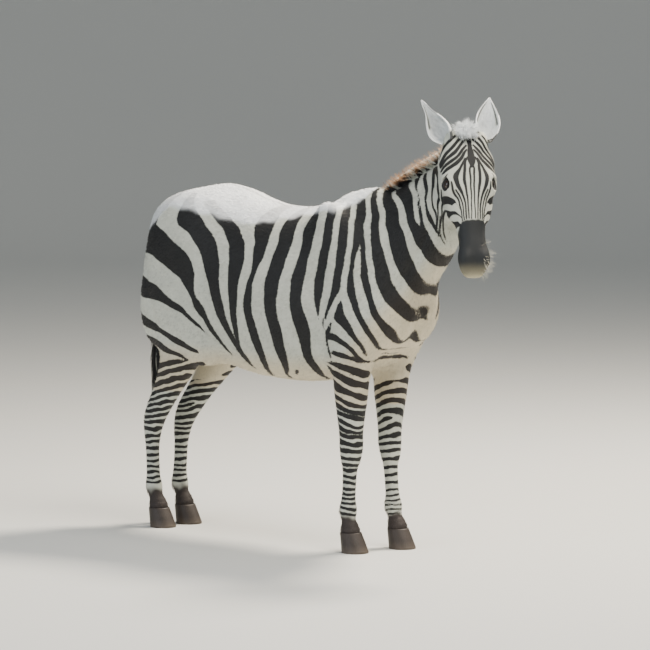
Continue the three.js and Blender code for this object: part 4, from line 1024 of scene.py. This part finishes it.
def growLocks(name, points, faces, lie, length, cover, lock, settings, unwrap, marks, material):
    # sets the locks, makes them plain mesh, and gives each its marks and its patch on the unwrap
    ground = meshObject(name + "Ground", points, faces, smooth=False)
    for key, kind, field, values in (("lie", "FLOAT_VECTOR", "vector", lie), ("length", "FLOAT", "value", length),
                                     ("cover", "FLOAT", "value", cover)):
        values = np.broadcast_to(values, (len(points), 3) if kind == "FLOAT_VECTOR" else (len(points),))
        layer = ground.data.attributes.new(key, kind, "POINT")
        layer.data.foreach_set(field, np.ascontiguousarray(values, np.float32).ravel())
    lockObject, tips = lock
    modifier = ground.modifiers.new("locks", "NODES")
    modifier.node_group = locksOverGround
    spacing = settings["spacing"] / 1000
    values = {"Lock": lockObject, "Spacing": spacing, "Density": 1.6 / spacing ** 2, "Lift": settings["lift"],
              "Sway": settings["sway"], "Seed": settings["seed"], "Material": material}
    for item in locksOverGround.interface.items_tree:
        if item.in_out == "INPUT" and item.name in values:
            modifier[item.identifier] = values[item.name]
    graph = bpy.context.evaluated_depsgraph_get()
    mesh = bpy.data.meshes.new_from_object(ground.evaluated_get(graph), depsgraph=graph)
    bpy.data.objects.remove(ground)
    bpy.data.objects.remove(lockObject)
    mesh.name = name
    for layer in [l for l in mesh.attributes if l.name in ("lie", "length", "cover")]:
        mesh.attributes.remove(layer)
    count, each = len(mesh.vertices), len(tips)
    place = np.empty(count * 3)
    mesh.vertices.foreach_get("co", place)
    place = place.reshape(-1, 3) * 1000 - centring
    roots = np.repeat(place.reshape(-1, each, 3)[:, :2].mean(1), each, 0)
    tip = np.tile(tips, count // each)
    values = marks(roots, place, tip)
    values["tone"] = np.repeat(rng.uniform(-1, 1, count // each), each)
    storeMarks(mesh, values)
    flat = unwrap(roots) + 0.003 * (np.stack([np.tile(np.arange(each) % 2, count // each), tip], 1) - 0.5)
    corners = np.empty(len(mesh.loops), int)
    mesh.loops.foreach_get("vertex_index", corners)
    for layer in list(mesh.uv_layers):
        mesh.uv_layers.remove(layer)
    mesh.uv_layers.new(name="OFBake").data.foreach_set("uv", np.clip(flat[corners], 0, 1).astype(np.float32).ravel())
    mesh.shade_smooth()
    if not mesh.materials:
        mesh.materials.append(material)
    made = bpy.data.objects.new(name, mesh)
    scene.collection.objects.link(made)
    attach(made, "root")
    print(name, count // each, "locks", sum(len(q.vertices) - 2 for q in mesh.polygons), "triangles")
    return made


# the coat
def lieOf(p):  # hair lies backwards along the body, down the legs, and from the brow down the face
    q = toHead(p)
    lie = np.stack([-np.ones(len(p)), 0 * p[:, 0], -0.55 - 0.5 * smoothStep(900 - p[:, 2], 0, 200)], 1)
    onNeck = smoothStep(p[:, 0], 460, 560)[:, None]
    lie = lie * (1 - onNeck) + np.array([-0.55, 0, -1.0]) * onNeck
    low = smoothStep(-p[:, 2], -700, -560)[:, None]
    lie = lie * (1 - low) + np.array([-0.12, 0, -1.0]) * low
    onDock = ((p[:, 0] < -640) & (p[:, 2] > 700))[:, None]
    lie = np.where(onDock, np.array([0, 0, -1.0]), lie)
    inHead = (q[:, 0] > -30) & (headDistance(p) < 40) & (p[:, 0] > headStart)
    return np.where(inHead[:, None], headAlong - headUp * 0.3 + 0.25 * np.sign(q[:, 1:2]) * headLeft, lie)


def roundUnwrap(along, span, first, second):  # along an axis and round it
    angle = (np.arctan2(second, first) / (2 * math.pi) + 0.5) % 1.0
    return np.stack([0.01 + 0.98 * (along - span[0]) / (span[1] - span[0]), 0.01 + 0.98 * angle], 1)


coatPieces = {  # lock length, width and blades in mm; spacing in mm, lift and sway in radians
    "trunk": {"lock": (15, 2.6, 3), "spacing": 7.6, "lift": 0.10, "sway": 0.30},
    "neck": {"lock": (13, 2.3, 3), "spacing": 6.6, "lift": 0.11, "sway": 0.30},
    "head": {"lock": (5.5, 1.1, 2), "spacing": 3.3, "lift": 0.14, "sway": 0.28},
    "leg": {"lock": (8, 1.7, 2), "spacing": 5.0, "lift": 0.10, "sway": 0.25},
}
headFlag = lambda p: (toHead(p)[:, 0] + 40 - 0.355
                      * (60 - toHead(p)[:, 2]) > 0) & (headDistance(p) < 40) & (p[:, 0] > headStart)
legZone = lambda p: (p[:, 2] < 640) & ((p[:, 0] > 290) | (p[:, 0] < -330))
regions = {
    "coat_trunk_right": ("trunk", lambda p: (p[:, 1] < 0) & (p[:, 0] <= 480) & ~legZone(p)),
    "coat_trunk_left": ("trunk", lambda p: (p[:, 1] >= 0) & (p[:, 0] <= 480) & ~legZone(p)),
    "coat_neck": ("neck", lambda p: (p[:, 0] > 480) & ~legZone(p) & ~headFlag(p)),
    "coat_head": ("head", headFlag),
}
for name in stance:
    side = stance[name][0]
    isFore = name.startswith("fore")
    regions["coat_leg_" + name] = ("leg", lambda p, side=side, isFore=isFore:
                                   legZone(p) & (np.sign(p[:, 1]) == side) & ((p[:, 0] > 0) == isFore)
                                   & (p[:, 2] > 62))


def coatUnwrap(kind, name):
    if kind == "leg":
        return lambda p: roundUnwrap(p[:, 2], (40, 700), *legFrame(p, name[9:]))
    if kind == "head":
        return lambda p: roundUnwrap(toHead(p)[:, 0], (-160, 560), toHead(p)[:, 1], toHead(p)[:, 2] + 20)
    if kind == "neck":
        return lambda p: roundUnwrap(p[:, 0] + 0.25 * p[:, 2], (600, 1250), p[:, 1],
                                     p[:, 2] - 1120 - 0.9 * (p[:, 0] - 640))
    return lambda p: roundUnwrap(p[:, 0], (-720, 500), p[:, 1], p[:, 2] - 930)


def coatMarks(share):  # the skin's own markings, read between each lock's root and its own point
    def marks(roots, place, tip):
        return markings(roots + share * (place - roots))
    return marks


skinPoints = np.asarray(skinPoints)
for number, (name, (kind, picked)) in enumerate(regions.items()):
    settings = {**coatPieces[kind], "seed": number + 3}
    used, faces = subMesh(skinPoints, skinFaces, picked)
    p = skinPoints[used]
    q = toHead(p)
    length = 1 + 0.9 * smoothStep(-p[:, 2], -660, -600) * (np.abs(p[:, 1]) < 60) * (p[:, 2] > 560)
    cover = smoothStep(np.hypot(p[:, 1] / 62, (p[:, 2] - 1010) / 110) + 9 * (p[:, 0] > -604), 0.85, 1.1)
    if kind == "head":
        length = 1 + 0.8 * smoothStep(-q[:, 2], 90, 150) - 0.45 * smoothStep(q[:, 0], 300, 360)
        eyeAway = np.sqrt((q[:, 0] - eye["along"]) ** 2 + (np.abs(q[:, 1]) - eye["out"]) ** 2
                          + (q[:, 2] - eye["up"]) ** 2)
        cover = cover * smoothStep(eyeAway, 27, 33) * (1 - 0.6 * smoothStep(q[:, 0], 330, 380))
    if kind == "leg":
        front = legFrame(p, name[9:])[0]
        length = 1 + 1.1 * smoothStep(-front, 8, 26) * smoothStep(-p[:, 2], -200, -150) * (p[:, 2] < 200)
    lock = lockShape(name + "Lock", *settings["lock"], seed=number)
    growLocks(name, p, faces, lieOf(p), length, cover, lock, settings, coatUnwrap(kind, name),
              coatMarks(1.0 if kind in ("head", "leg") else 0.9), tuftMaterial)


# mane, forelock and tail
maneRows = [  # x, y, z of the crest, height, half width
    [425, 0, 1288, 12, 9],
    [480, 0, 1296, 44, 13],
    [540, 0, 1319, 56, 14],
    [590, 0, 1345, 58, 15],
    [640, 2, 1372, 56, 15],
    [690, 6, 1399, 54, 15],
    [735, 10, 1426, 50, 15],
    [778, 6, 1456, 46, 16],
    [812, -12, 1482, 40, 18],
]
# the mane's tips are painted tan: painted sunlight on the hair
maneHair = {"lock": (54, 2.4, 3), "spacing": 2.7, "lift": 1.38, "sway": 0.5, "seed": 31, "core": 0.72, "sunlitTan": 0.8}
hairMaterial = coatMaterialNamed("maneHair", bump=0.15, edge=2.5, roughness=0.7)


def maneStrip(count=90):
    at = np.linspace(0.15, len(maneRows) - 1, count)
    rows = blendRows(maneRows, at)
    along = blendRows(maneRows, at + 0.02)[:, :3] - blendRows(maneRows, at - 0.02)[:, :3]
    along /= np.linalg.norm(along, axis=1)[:, None]
    side = np.stack([-along[:, 1], along[:, 0], 0 * along[:, 0]], 1)
    side /= np.linalg.norm(side, axis=1)[:, None]
    up = np.cross(along, side)
    return rows, along, side, up


def maneGround():
    rows, along, side, up = maneStrip()
    across = np.linspace(-1, 1, 7)
    points = np.array([[r[:3] + s * v * r[4] * 0.62 - u * (3 + 5 * s * s) for s in across] for r, v,
                       u in zip(rows, side, up)])
    faces = [(i * 7 + j, i * 7 + 7 + j, i * 7 + 8 + j, i * 7 + 1 + j) for i in range(len(rows) - 1) for j in range(6)]
    lean = np.repeat(-along, 7, 0)
    return points.reshape(-1, 3), faces, lean, np.repeat(np.clip(rows[:, 3] / 56, 0.3, 1.1), 7)


def maneMarks(roots, place, tip):
    base = roots.copy()
    base[:, 2] -= 14
    base[:, 1] = np.where(base[:, 1] > np.interp(base[:, 0], [r[0] for r in maneRows], [r[1] for r in maneRows]), 40,
                          -40)
    marks = markings(base)
    quiet = {key: 0 * tip for key in ("nose", "lip", "feet", "fade")}
    # painted sunlight: the outer part of each mane lock turns tan
    return {**marks, **quiet, "sun": maneHair["sunlitTan"] * smoothStep(tip, 0.35, 0.85)}


def closedLoft(rings):  # quads round rings of points, closed by a fan at both ends
    count = len(rings[0])
    points = [p for ring in rings for p in ring] + [np.mean(rings[0], 0), np.mean(rings[-1], 0)]
    faces = [(i * count + j, i * count + (j + 1) % count, (i + 1) * count + (j + 1) % count, (i + 1) * count + j)
             for i in range(len(rings) - 1) for j in range(count)]
    last = (len(rings) - 1) * count
    faces += [(len(points) - 2, (j + 1) % count, j) for j in range(count)]
    faces += [(len(points) - 1, last + j, last + (j + 1) % count) for j in range(count)]
    points = np.array(points)
    return points, outward(points - points.mean(0), faces)


def outward(points, faces):  # turns the faces so that the volume is positive
    volume = sum(np.dot(points[f[0]], np.cross(points[f[1]], points[f[2]])) for f in faces)
    return faces if volume > 0 else [f[::-1] for f in faces]


def solidPiece(name, rings, material, marks, replaced):
    points, faces = closedLoft(rings)
    made = meshObject(name, points, faces, material)
    storeMarks(made.data, marks(points))
    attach(made, "root")
    if replaced:
        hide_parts(*replaced)
    return made


def maneCore():
    rows, along, side, up = maneStrip()
    section = [(-0.75, -0.5), (-0.75, 0.3), (-0.5, 0.75), (0, 0.95), (0.5, 0.75), (0.75, 0.3), (0.75, -0.5)]
    return [[r[:3] + s * v * r[4] + u * (k * r[3] * maneHair["core"] if k > 0 else k * 50) for s, k in section]
            for r, v, u in zip(rows, side, up)]


solidPiece("mane_core", maneCore(), hairMaterial, lambda p: maneMarks(p, p, np.zeros(len(p))), ["mane"])
points, faces, lie, length = maneGround()
lock = lockShape("maneLock", *maneHair["lock"], fan=0.12, parts=3, bend=0.05)
growLocks("mane_hair", points, faces, lie, length, 1.0, lock, maneHair,
          lambda p: np.stack([0.02 + 0.96 * (p[:, 0] - 420) / 400, 0.5 + (p[:, 1] - 4) / 80], 1), maneMarks,
          hairMaterial)

forelock = {"place": (-13, 0, 52), "size": (27, 46, 27), "core": 0.72}
forelockHair = {"lock": (27, 2.4, 3), "spacing": 3.4, "lift": 0.95, "sway": 1.1, "seed": 41}


def headEgg(place, size, rings=14, around=24):  # an egg in the head's frame, rings from side to side
    made = []
    for a in np.linspace(0.08, math.pi - 0.08, rings):
        ring = []
        for b in np.linspace(0, 2 * math.pi, around, endpoint=False):
            local = np.array([math.sin(a) * math.cos(b), -math.cos(a), math.sin(a) * math.sin(b)])
            ring.append(fromHead(np.array(place) + local * np.array(size)))
        made.append(ring)
    return made


def evenMarks(**values):
    def marks(roots, place=None, tip=None):
        count = len(roots)
        return {key: np.full(count, float(values.get(key, 0)))
                for key in ("stripe", "fade", "warm", "nose", "lip", "feet", "sun")}
    return marks


def forelockMarks(roots, place, tip):  # white hair over dark roots
    low = smoothStep(toHead(roots)[:, 0] - forelock["place"][0], 6, 20)
    marks = evenMarks(fade=1)(roots)
    marks["stripe"] = np.where((low > 0.5) & (tip < 0.75), 6.0, -6.0)
    return marks


core = headEgg(forelock["place"], np.array(forelock["size"]) * forelock["core"])
solidPiece("forelock_core", core, hairMaterial, evenMarks(stripe=-6, fade=0.9), ["forelock"])
points, faces = closedLoft(core)
q = toHead(points)
lie = headAlong * 0.6 + headUp * 0.4 + np.outer(np.clip(q[:, 1] / 40, -1, 1), headLeft) * 0.5
lock = lockShape("forelockLock", *forelockHair["lock"], fan=0.3, parts=3, bend=0.15)
growLocks("forelock_hair", points, faces, lie, 1.0, (q[:, 2] > 36).astype(float), lock, forelockHair,
          lambda p: np.stack([0.5 + toHead(p)[:, 0] / 300, 0.5 + toHead(p)[:, 1] / 200], 1), forelockMarks,
          hairMaterial)

tuftRows = [  # x, z, half depth, half width
    [-670, 790, 18, 19],
    [-669, 730, 28, 27],
    [-668, 650, 36, 32],
    [-668, 560, 36, 32],
    [-667, 480, 25, 24],
    [-667, 430, 6, 6],
]
tailHair = {"lock": (105, 3.0, 3), "spacing": 5.0, "lift": 0.05, "sway": 0.10, "seed": 51, "core": 0.8}


def tailRings(share, count=26, around=20):
    rows = blendRows(tuftRows, np.linspace(0, len(tuftRows) - 1.15, count))
    angles = np.linspace(0, 2 * math.pi, around, endpoint=False)
    return [[np.array([x + deep * share * math.cos(a), wide * share * math.sin(a), z]) for a in angles] for x, z,
            deep, wide in rows]


def tailMarks(roots, place, tip):
    marks = evenMarks(stripe=8)(roots)
    pale = (wobble(roots, 26, 61) > 0.75) | (roots[:, 2] > 776)
    marks["stripe"] = np.where(pale, -8.0, 8.0)
    marks["warm"] = np.full(len(roots), 0.5)
    return marks


tailCore = tailRings(tailHair["core"])
solidPiece("tail_core", tailCore, hairMaterial, evenMarks(stripe=8, warm=0.5), ["tail_tuft"])
points, faces = closedLoft(tailCore)
reach = np.clip((points[:, 2] - 442) / 105, 0.25, 1.0)
tailCover = (points[:, 2] > points[:, 2].min() + 6) & (points[:, 2] < points[:, 2].max()
                                                       - 6)  # no hair on the flat ends
lock = lockShape("tailLock", *tailHair["lock"], fan=0.05, parts=4, bend=0.03)
growLocks("tail_hair", points, faces, np.array([0.0, 0.0, -1.0]), reach, tailCover.astype(float), lock, tailHair,
          lambda p: roundUnwrap(p[:, 2], (400, 820), p[:, 0] + 668, p[:, 1]), tailMarks, hairMaterial)

# ears
earPlaces = {  # base in the head's frame, direction of the tip and of the opening, half widths from base to tip
    "ear_right": {"at": (12, -64, 26), "along": (-0.4, -0.41, 0.84), "open": (0.2, -0.95, 0.1),
                  "widths": [27, 35, 41, 43, 40, 34, 26, 19, 14, 9, 3]},
    "ear_left": {"at": (16, 74, 20), "along": (-0.2, 0.39, 0.86), "open": (0.75, -0.62, 0.12),
                 "widths": [26, 34, 41, 44, 45, 43, 39, 33, 24, 13, 3]},
}
earShape = {"length": 170, "wall": 4.4, "rolledBase": 140, "rolledTip": 62, "hollow": 0.4, "inset": 0.8}
earHair = {"lock": (22, 1.5, 3), "spacing": 3.6, "lift": 0.45, "sway": 0.5, "seed": 61}
earMaterial = coatMaterialNamed("earCoat", bump=0.25, edge=1.6)


def earSurface(place, steps=40, arc=28):  # rings of points with how far along, how far round and which side
    along = np.array(place["along"]) / np.linalg.norm(place["along"])
    opening = np.array(place["open"]) / np.linalg.norm(place["open"])
    side = np.cross(opening, along)
    side /= np.linalg.norm(side)
    back = np.cross(along, side)
    back = -back if back @ opening > 0 else back
    base = fromHead(place["at"])
    rings, frame = [], []
    for s in np.linspace(0, 0.99, steps):
        half = blendRows([[w] for w in place["widths"]], s * (len(place["widths"]) - 1))[0, 0] - earShape["inset"]
        wrap = math.radians(earShape["rolledBase"] + (earShape["rolledTip"] - earShape["rolledBase"]) * math.sqrt(s))
        radius = half / math.sin(min(wrap, math.pi / 2))
        middle = base + along * earShape["length"] * s - back * radius / 2
        inner = max(radius - earShape["wall"], radius * earShape["hollow"])
        angles = np.linspace(-wrap, wrap, arc)
        ring = [middle + side * radius * math.sin(a) + back * radius * math.cos(a) for a in angles]
        ring += [middle + side * inner * math.sin(a * 0.97) + back * inner * math.cos(a * 0.97) for a in angles[::-1]]
        rings.append(ring)
        frame += [(s, abs(a) / wrap, 0.0) for a in angles] + [(s, abs(a) / wrap, 1.0) for a in angles[::-1]]
    return rings, np.array(frame), -back


def earMarks(frame):
    frame = np.vstack([frame, frame[:1], frame[-1:]])

    def marks(points):
        s, a, inside = frame.T
        marks = evenMarks(fade=0.35)(points)
        band = np.minimum(s - 0.60, 0.86 - s) * 170 + 3 * wobble(points, 24, 71)
        band = np.maximum(band, (0.14 - s) * 170)
        rim = 3.0 - np.abs(a - 0.80 + 0.10 * s) * 40 - 12 * smoothStep(-s, -0.42, -0.30) - 14 * smoothStep(s, 0.88,
            0.95)
        marks["stripe"] = np.where(inside > 0.5, np.minimum(rim, 4), band)
        # painted light: away from its dark lines the white ear is painted brighter still, as the sun glows through it
        marks["fade"] = np.where(marks["stripe"] > -3, 0.1, 0.9)
        marks["warm"] = 0.35 * inside * (1 - a)
        return marks
    return marks


for name, place in earPlaces.items():
    rings, earFrame, opening = earSurface(place)
    solidPiece(name + "_shell", rings, earMaterial, earMarks(earFrame), [name])
    points = np.array([p for ring in rings for p in ring])
    around = len(rings[0])
    picked = [(i, j) for i in range(1, 34) for j in range(around // 2 + 3, around - 3)]
    faces = [(i * around + j, i * around + j + 1, (i + 1) * around + j + 1, (i + 1) * around + j) for i, j in picked]
    normal = np.cross(points[faces[200][1]] - points[faces[200][0]], points[faces[200][2]] - points[faces[200][0]])
    faces = faces if normal @ opening > 0 else [f[::-1] for f in faces]
    direction = np.array(place["along"]) / np.linalg.norm(place["along"])
    lock = lockShape(name + "Lock", *earHair["lock"], fan=0.25, parts=3, bend=0.2)
    inwards = 1 - 0.6 * smoothStep(earFrame[:, 0], 0.3, 0.8)
    # the ear's hair gets the same painted glow: white hair at full fade
    growLocks(name + "_hair", points, faces, direction, inwards, 0.7 * (earFrame[:, 1] < 0.62), lock, earHair,
              lambda p, base=fromHead(place["at"]), d=direction: np.stack([0.1 + 0.8 * ((p - base) @ d) / 190,
                  0.5 + p[:, 1] / 900], 1),
              evenMarks(stripe=-6, fade=1), hairMaterial)
print("ears ready")

# eyes
wetLooks = {"Roughness": 0.06, "IOR": 1.38, "Coat Weight": 1.0, "Coat Roughness": 0.02}
eyeMaterial, eyeTree, eyeShader = newMaterial("wetEye", wetLooks)  # a wet cornea over a near black iris
eyeShares = {key: addNode(eyeTree, "ShaderNodeAttribute", attribute_name=key).outputs["Fac"]
             for key in ("pupil", "white")}
pupil = addNode(eyeTree, "ShaderNodeMapRange", {"From Min": -0.6, "From Max": 0.6},
                {"Value": eyeShares["pupil"]}).outputs[0]
iris = addNode(eyeTree, "ShaderNodeMix", {6: hexColour("2e1c10"), 7: hexColour("050505")}, {0: pupil},
               data_type="RGBA").outputs[2]
rim = addNode(eyeTree, "ShaderNodeMix", {7: hexColour("1a1410")}, {0: eyeShares["white"], 6: iris},
              data_type="RGBA").outputs[2]
eyeTree.links.new(rim, eyeShader.inputs["Base Color"])
lidMaterial, lidTree, lidShader = newMaterial("lidEdge", {"Base Color": hexColour("1d1a18"), "Roughness": 0.4})
lidPlace = addNode(lidTree, "ShaderNodeTexCoord").outputs["Object"]
lidGrain = addNode(lidTree, "ShaderNodeTexNoise", {"Scale": 500, "Detail": 4.0}, {"Vector": lidPlace}).outputs["Fac"]
lidLift = addNode(lidTree, "ShaderNodeBump", {"Strength": 0.2, "Distance": 0.001}, {"Height": lidGrain})
lidTree.links.new(lidLift.outputs[0], lidShader.inputs["Normal"])
lidRim = {"inset": 0.93, "thick": 1.7, "above": 1.0, "steps": 56, "around": 10, "lashesFrom": 5, "lashesTo": 25}
lashHair = {"lock": (11, 0.5, 1), "spacing": 1.1, "lift": 0.5, "sway": 0.25, "seed": 71}


def eyeBasis(side):  # along the slit, towards the brow, outwards; all in the head's frame
    look = eyeLook * (1, side, 1)
    brow = np.array([0.0, -side * eyeLook[2], eyeLook[1]])
    c, s = math.cos(math.radians(eye["slant"])), math.sin(math.radians(eye["slant"]))
    along = np.array([1.0, 0.0, 0.0])
    return along * c - brow * s, along * s + brow * c, look


for name, side in (("eye_right", -1), ("eye_left", 1)):
    long, brow, look = eyeBasis(side)
    middle = np.array([eye["along"], side * eye["out"], eye["up"]])
    rings, frames = [], []
    for a in np.linspace(0.05, math.pi - 0.05, 28):
        angles = np.linspace(0, 2 * math.pi, 40, endpoint=False)
        swell = 1 + 0.035 * math.exp(-(a / 0.55) ** 2)
        rings.append([fromHead(middle + eye["radius"] * 0.985 * swell
                               * (look * math.cos(a) + math.sin(a) * (long * math.cos(b) + brow * math.sin(b))))
                               for b in angles])
        frames += [(a, b) for b in angles]
    frames = np.array(frames + [(0.0, 0.0), (math.pi, 0.0)])

    def eyeMarks(points, frames=frames):
        a, b = frames.T
        x, y = eye["radius"] * np.sin(a) * np.cos(b), eye["radius"] * np.sin(a) * np.sin(b)
        pupilDepth = (1 - np.sqrt((x / eye["pupil"][0]) ** 2 + (y / eye["pupil"][1]) ** 2)) * 4
        return {"pupil": np.where(a < 1.4, pupilDepth, -4), "white": smoothStep(a, 0.82, 0.95)}

    solidPiece(name + "_ball", rings, eyeMaterial, eyeMarks, [name])
    rimRings = []
    halfLong, halfAcross, depth = eye["slit"]
    for b in np.linspace(0, 2 * math.pi, lidRim["steps"], endpoint=False):
        flat = np.array([math.cos(b) * halfLong * lidRim["inset"], math.sin(b) * halfAcross * lidRim["inset"]])
        reach = eye["radius"] + lidRim["above"]
        out = math.sqrt(max(reach ** 2 - flat @ flat, 1))
        centre = middle + long * flat[0] + brow * flat[1] + look * out
        inward = (centre - middle) / np.linalg.norm(centre - middle)
        across = long * flat[0] / halfLong ** 2 + brow * flat[1] / halfAcross ** 2
        across = across - inward * (across @ inward)
        across /= np.linalg.norm(across)
        angles = np.linspace(0, 2 * math.pi, lidRim["around"], endpoint=False)
        rimRings.append([fromHead(centre + lidRim["thick"] * (inward * math.cos(c) + across * math.sin(c)))
                         for c in angles])
    count, around = len(rimRings), lidRim["around"]
    points = np.array([p for ring in rimRings for p in ring])
    faces = [(i * around + j, i * around + (j + 1) % around, (i + 1) % count * around + (j + 1) % around,
              (i + 1) % count * around + j)
             for i in range(count) for j in range(around)]
    faces = outward(points - points.mean(0), faces)
    lid = meshObject(name + "_lid", points, faces, lidMaterial)
    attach(lid, "root")
    strip = []  # a narrow ground along the upper lid
    for i in range(lidRim["lashesFrom"], lidRim["lashesTo"]):
        edge = toHead(points[i * around:i * around + around].mean(0)[None])[0]
        strip += [fromHead(edge + look * 1.0 + k * brow * 1.6) for k in (0, 1)]
    strip = np.array(strip)
    lashFaces = [(2 * i, 2 * i + 1, 2 * i + 3, 2 * i + 2) for i in range(len(strip) // 2 - 1)]
    normal = np.cross(strip[1] - strip[0], strip[2] - strip[0])
    lashFaces = lashFaces if normal @ (look @ headAxes) > 0 else [f[::-1] for f in lashFaces]
    lock = lockShape(name + "Lash", *lashHair["lock"], parts=3, bend=0.2)
    growLocks(name + "_lashes", strip, lashFaces, (look * 0.7 + brow * 0.5) @ headAxes, 1.0, 1.0, lock, lashHair,
              lambda p: np.stack([0.5 + toHead(p)[:, 0] / 2000, 0.5 + toHead(p)[:, 2] / 2000], 1),
              evenMarks(stripe=8), hairMaterial)
print("eyes ready")

# whiskers
whiskers = {"lock": (26, 0.8, 2), "spacing": 7.0, "lift": 0.9, "sway": 0.8, "seed": 81}
used, faces = subMesh(skinPoints, skinFaces, lambda p: headFlag(p) & (toHead(p)[:, 0] > 395))
p = skinPoints[used]
q = toHead(p)
chin = smoothStep(-q[:, 2], 40, 70)
litSide = smoothStep(q[:, 1], 18, 34)
cover = np.clip(0.25 * chin + litSide * (0.35 + 0.65 * smoothStep(q[:, 0], 440, 480)), 0, 1)
lock = lockShape("whiskerLock", *whiskers["lock"], parts=3, bend=0.1)
growLocks("whiskers", p, faces, headAlong * 0.6 + headLeft * 0.5 - headUp * 0.3, 0.55 + 0.45 * litSide, cover, lock,
          whiskers,
          coatUnwrap("head", "head"), evenMarks(stripe=-8, warm=0.6), hairMaterial)

# hooves
hoof = {"height": 71.4, "length": 108, "width": 95, "topLength": 81, "topWidth": 81, "lean": 20, "heel": 0.86,
        "cleft": 0.10, "growth": 0.45, "rings": 26, "around": 56}
hornMaterial, hornTree, hornShader = newMaterial("hoofHorn", {"Roughness": 0.55})  # dull, grooved and dusty below
hornPlace = addNode(hornTree, "ShaderNodeTexCoord").outputs["Object"]
streaks = addNode(hornTree, "ShaderNodeMapping", {"Scale": (90.0, 90.0, 8.0)}, {"Vector": hornPlace}).outputs[0]
streak = addNode(hornTree, "ShaderNodeTexNoise", {"Scale": 3.0, "Detail": 4.0}, {"Vector": streaks}).outputs["Fac"]
height = addNode(hornTree, "ShaderNodeSeparateXYZ", {}, {0: hornPlace}).outputs["Z"]
dust = addNode(hornTree, "ShaderNodeMapRange", {"From Min": 0.0, "From Max": 0.03, "To Min": 0.45, "To Max": 0.0},
               {"Value": height}).outputs[0]
horn = addNode(hornTree, "ShaderNodeMix", {6: hexColour("221e1c"), 7: hexColour("453c36")}, {0: streak},
               data_type="RGBA").outputs[2]
dusty = addNode(hornTree, "ShaderNodeMix", {7: hexColour("6b5f52")}, {0: dust, 6: horn}, data_type="RGBA").outputs[2]
hornTree.links.new(dusty, hornShader.inputs["Base Color"])
hornLift = addNode(hornTree, "ShaderNodeBump", {"Strength": 0.3, "Distance": 0.001}, {"Height": streak})
hornTree.links.new(hornLift.outputs[0], hornShader.inputs["Normal"])


def hoofRings(name):
    x, y = legPaths[name][-1][:2]
    made = []
    for k, z in enumerate(np.concatenate([[0.0, 1.5], np.linspace(6, hoof["height"], hoof["rings"])])):
        flare = np.interp(z, [0, 6, 40, 67, 72], [0.955, 0.985, 0.49, 0.06, 0])
        forward = hoof["lean"] * (1 if z <= 6 else flare)
        ring = []
        for a in np.linspace(0, 2 * math.pi, hoof["around"], endpoint=False):
            heel = hoof["heel"] if math.cos(a) < 0 else 1
            notch = 1 - hoof["cleft"] * math.exp(-((abs(a - math.pi)) / 0.22) ** 2)
            groove = -hoof["growth"] * (0.5 + 0.5 * math.sin(z * 1.05 + 0.6 * math.cos(a))) if 6 < z < 64 else 0
            coronet = 0.0 if z < 64 else -0.4
            deep = (hoof["topLength"] + (hoof["length"] - hoof["topLength"]) * flare) / 2 + groove + coronet
            wide = (hoof["topWidth"] + (hoof["width"] - hoof["topWidth"]) * flare) / 2 + groove + coronet
            ring.append(np.array([x + forward + deep * math.cos(a) * heel * notch,
                                  y + wide * math.sin(a) * notch ** 0.5, z]))
        made.append(ring)
    return made


for name in stance:
    solidPiece("hoof_horn_" + name, hoofRings(name), hornMaterial, lambda points: {}, ["hoof_" + name])
print("hooves ready")
